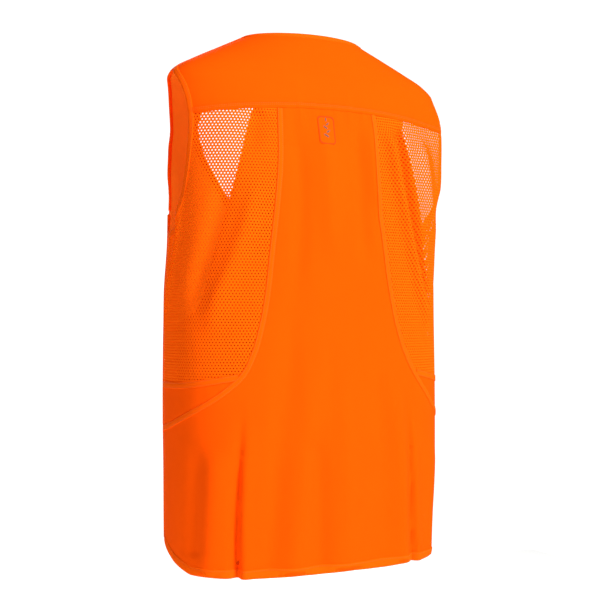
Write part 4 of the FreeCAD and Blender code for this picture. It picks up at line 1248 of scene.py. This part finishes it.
def flap(side_name, side, out_way):
    """A pocket's flap, which bends at its seam, and the stitches round it."""
    t = distances(FLAP_DROP)
    s = np.linspace(0, t[-1], 41)
    out, z = np.interp(s, t, FLAP_DROP[:, 0]), np.interp(s, t, FLAP_DROP[:, 1])[:, None]
    for _ in range(3):
        out[1:-1] = (out[:-2] + 2 * out[1:-1] + out[2:]) / 4
    u = np.linspace(-1, 1, 61)
    down = s[:, None] / t[-1]
    rounding = np.clip((s - (t[-1] - 12)) / 12, 0, 1)
    half_wide = FLAP_HALF - 12 * (1 - np.sqrt(np.clip(1 - rounding ** 2, 0, 1)))
    across = side * POCKET_X + u * half_wide[:, None]
    curl = np.clip(0.9 * np.abs(u) ** 3 * down ** 2 * np.sin(s[:, None] / 9.0), -0.2, 1)
    by_snap = np.exp(-((u * POCKET_HALF) ** 2 + (z - SNAP_Z) ** 2) / 260)
    ripple = 0.35 * np.sin(u * 7 + 1.0) * down * (1 - by_snap)
    grid = turned(side, POCKET_TURN, across, out[:, None] + curl + ripple, z)
    points, faces = thick(grid, 1.5)
    bend = ((0, 0, FLAP_SEAM_Z * MM), (0, 0, (FLAP_SEAM_Z - 16) * MM))
    build(side_name + "_flap_cloth", points, faces, "orange_cloth",
          ("front_" + side_name, "flap_" + side_name, *bend), [side_name + "_pocket_flap"],
          skins_uv(across, -s[:, None]))

    def in_row(i, share):
        return np.stack([np.interp(share, u, grid[i, :, k]) for k in range(3)], -1)

    for inset in (2.5, 5.5):
        rows = np.nonzero(s < t[-1] - inset)[0]
        share = 1 - inset / half_wide
        left, right = [[in_row(i, sign * share[i]) for i in rows[6:]] for sign in (-1, 1)]
        bottom = in_row(rows[-1], np.linspace(-share[rows[-1]], share[rows[-1]], 60))
        line = np.concatenate([left, bottom[1:-1], right[::-1]]) + out_way * 0.8
        stitch_line("flap_" + side_name, line, out_way)


for side_name, side in SIDES.items():
    pocket(side_name, side, facing(side, POCKET_TURN))
    flap(side_name, side, facing(side, POCKET_TURN))

# The chest tab: webbing that loops round the ring's bar, sewn down with a crossed box.
BAR_OUT, BAR_Z, BAR_REACH, TAB_X = 152.0, -346.0, 2.35, 61.0
tab_top = box_mm("chest_tab")[1][2]
root = float(body_out(1, TAB_TURN, TAB_X, -325.0))
path = [(root + 0.9, tab_top - 0.4), (root + 0.9, BAR_Z + 12), (BAR_OUT - 2.5, BAR_Z + 5)]
for degrees in range(160, 401, 20):
    angle = math.radians(degrees)
    path.append((BAR_OUT + BAR_REACH * math.cos(angle), BAR_Z + BAR_REACH * math.sin(angle)))
path += [(BAR_OUT - 0.2, BAR_Z + 4.6), (root + 2.4, BAR_Z + 9), (root + 2.2, tab_top - 1.5)]
path = np.array(path)
t = distances(path)
s = np.linspace(0, t[-1], 90)[:, None]
u = np.linspace(-7.9, 7.9, 13)
tab_grid = turned(1, TAB_TURN, TAB_X + u, np.interp(s, t, path[:, 0]), np.interp(s, t, path[:, 1]))
points, faces = thick(tab_grid, 1.05)
build("chest_webbing", points, faces, "orange_binding", "front_left", ["chest_tab"], skins_uv(u, s))
for u0, z0, u1, z1 in ((-6, -326, 6, -326), (6, -326, 6, -336), (6, -336, -6, -336), (-6, -336, -6, -326),
                       (-6, -326, 6, -336), (6, -326, -6, -336)):
    line = turned(1, TAB_TURN, TAB_X + np.linspace(u0, u1, 12), root + 3.0, np.linspace(z0, z1, 12))
    stitch_line("front_left", line, facing(1, TAB_TURN), pitch=2.2, length=1.8)

# ---------------------------------------------------------------- strips over the side and shoulder seams
SIDE_SECTION = both_halves([(5.0, -0.3), (4.9, 0.7), (4.2, 1.45), (3.0, 1.2), (1.5, 1.5), (0.0, 1.35)])
SHOULDER_SECTION = both_halves([(4.6, -0.2), (4.5, 0.5), (3.8, 0.85), (2.8, 0.6), (1.2, 0.9), (0, 0.7)])
for side_name, side in SIDES.items():
    z = np.linspace(float(hem_z(SEAM_Y)) + 0.5, -252.0, 150)
    seam_line = even(side_line(side, pairs(SEAM_Y - 0.7, z)), step=3.0)
    at_seam = ((0, (SEAM_Y + 1.5) * MM, 0), (0, (SEAM_Y - 2.5) * MM, 0))
    strip(side_name + "_side_seam", seam_line, SIDE_SECTION, "orange_binding",
          ("back", "front_" + side_name, *at_seam))
    shoulder = even(side_line(side, pairs(-1.1, np.linspace(-55.5, -0.8, 80))), step=3.0)
    strip(side_name + "_shoulder_seam", shoulder, SHOULDER_SECTION, "orange_cloth", "back")
    for w in (-2.8, 2.8):
        stitch_along("back", shoulder, w, 0.75)

for key in ("back", "front_left", "front_right"):
    finish_thread(key, key)
for side_name in SIDES:
    finish_thread("upper_" + side_name, front_body(side_name))
for side_name in SIDES:
    finish_thread("flap_" + side_name, "flap_" + side_name)

# ---------------------------------------------------------------- the trim that the CAD keeps, and the floor
for finish, nodes in {
        "zip_plastic": ("left_top_stop", "right_top_stop", "retainer_box", "insertion_pin"),
        "zip_metal": ("zip_slider", "zip_pull", "d_ring"),
        "snap_metal": [side_name + part for side_name in SIDES
                       for part in ("_snap_cap", "_snap_socket", "_snap_stud")],
        }.items():
    for node in nodes:
        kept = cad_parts[node]
        kept.data.materials.clear()
        kept.data.materials.append(FINISH[finish])

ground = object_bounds()[0][2] - 0.5
floor_mesh = bpy.data.meshes.new("floor")
floor_corners = [(x, y, ground) for x, y in ((-2, -2), (2, -2), (2, 2), (-2, 2))]
floor_mesh.from_pydata(floor_corners, [], [(0, 1, 2, 3)])
floor = bpy.data.objects.new("floor", floor_mesh)
scene.collection.objects.link(floor)
floor_mesh.materials.append(material("floor_paint", (0.93, 0.93, 0.92), 0.8, blotch=0.004, glow=0.3))
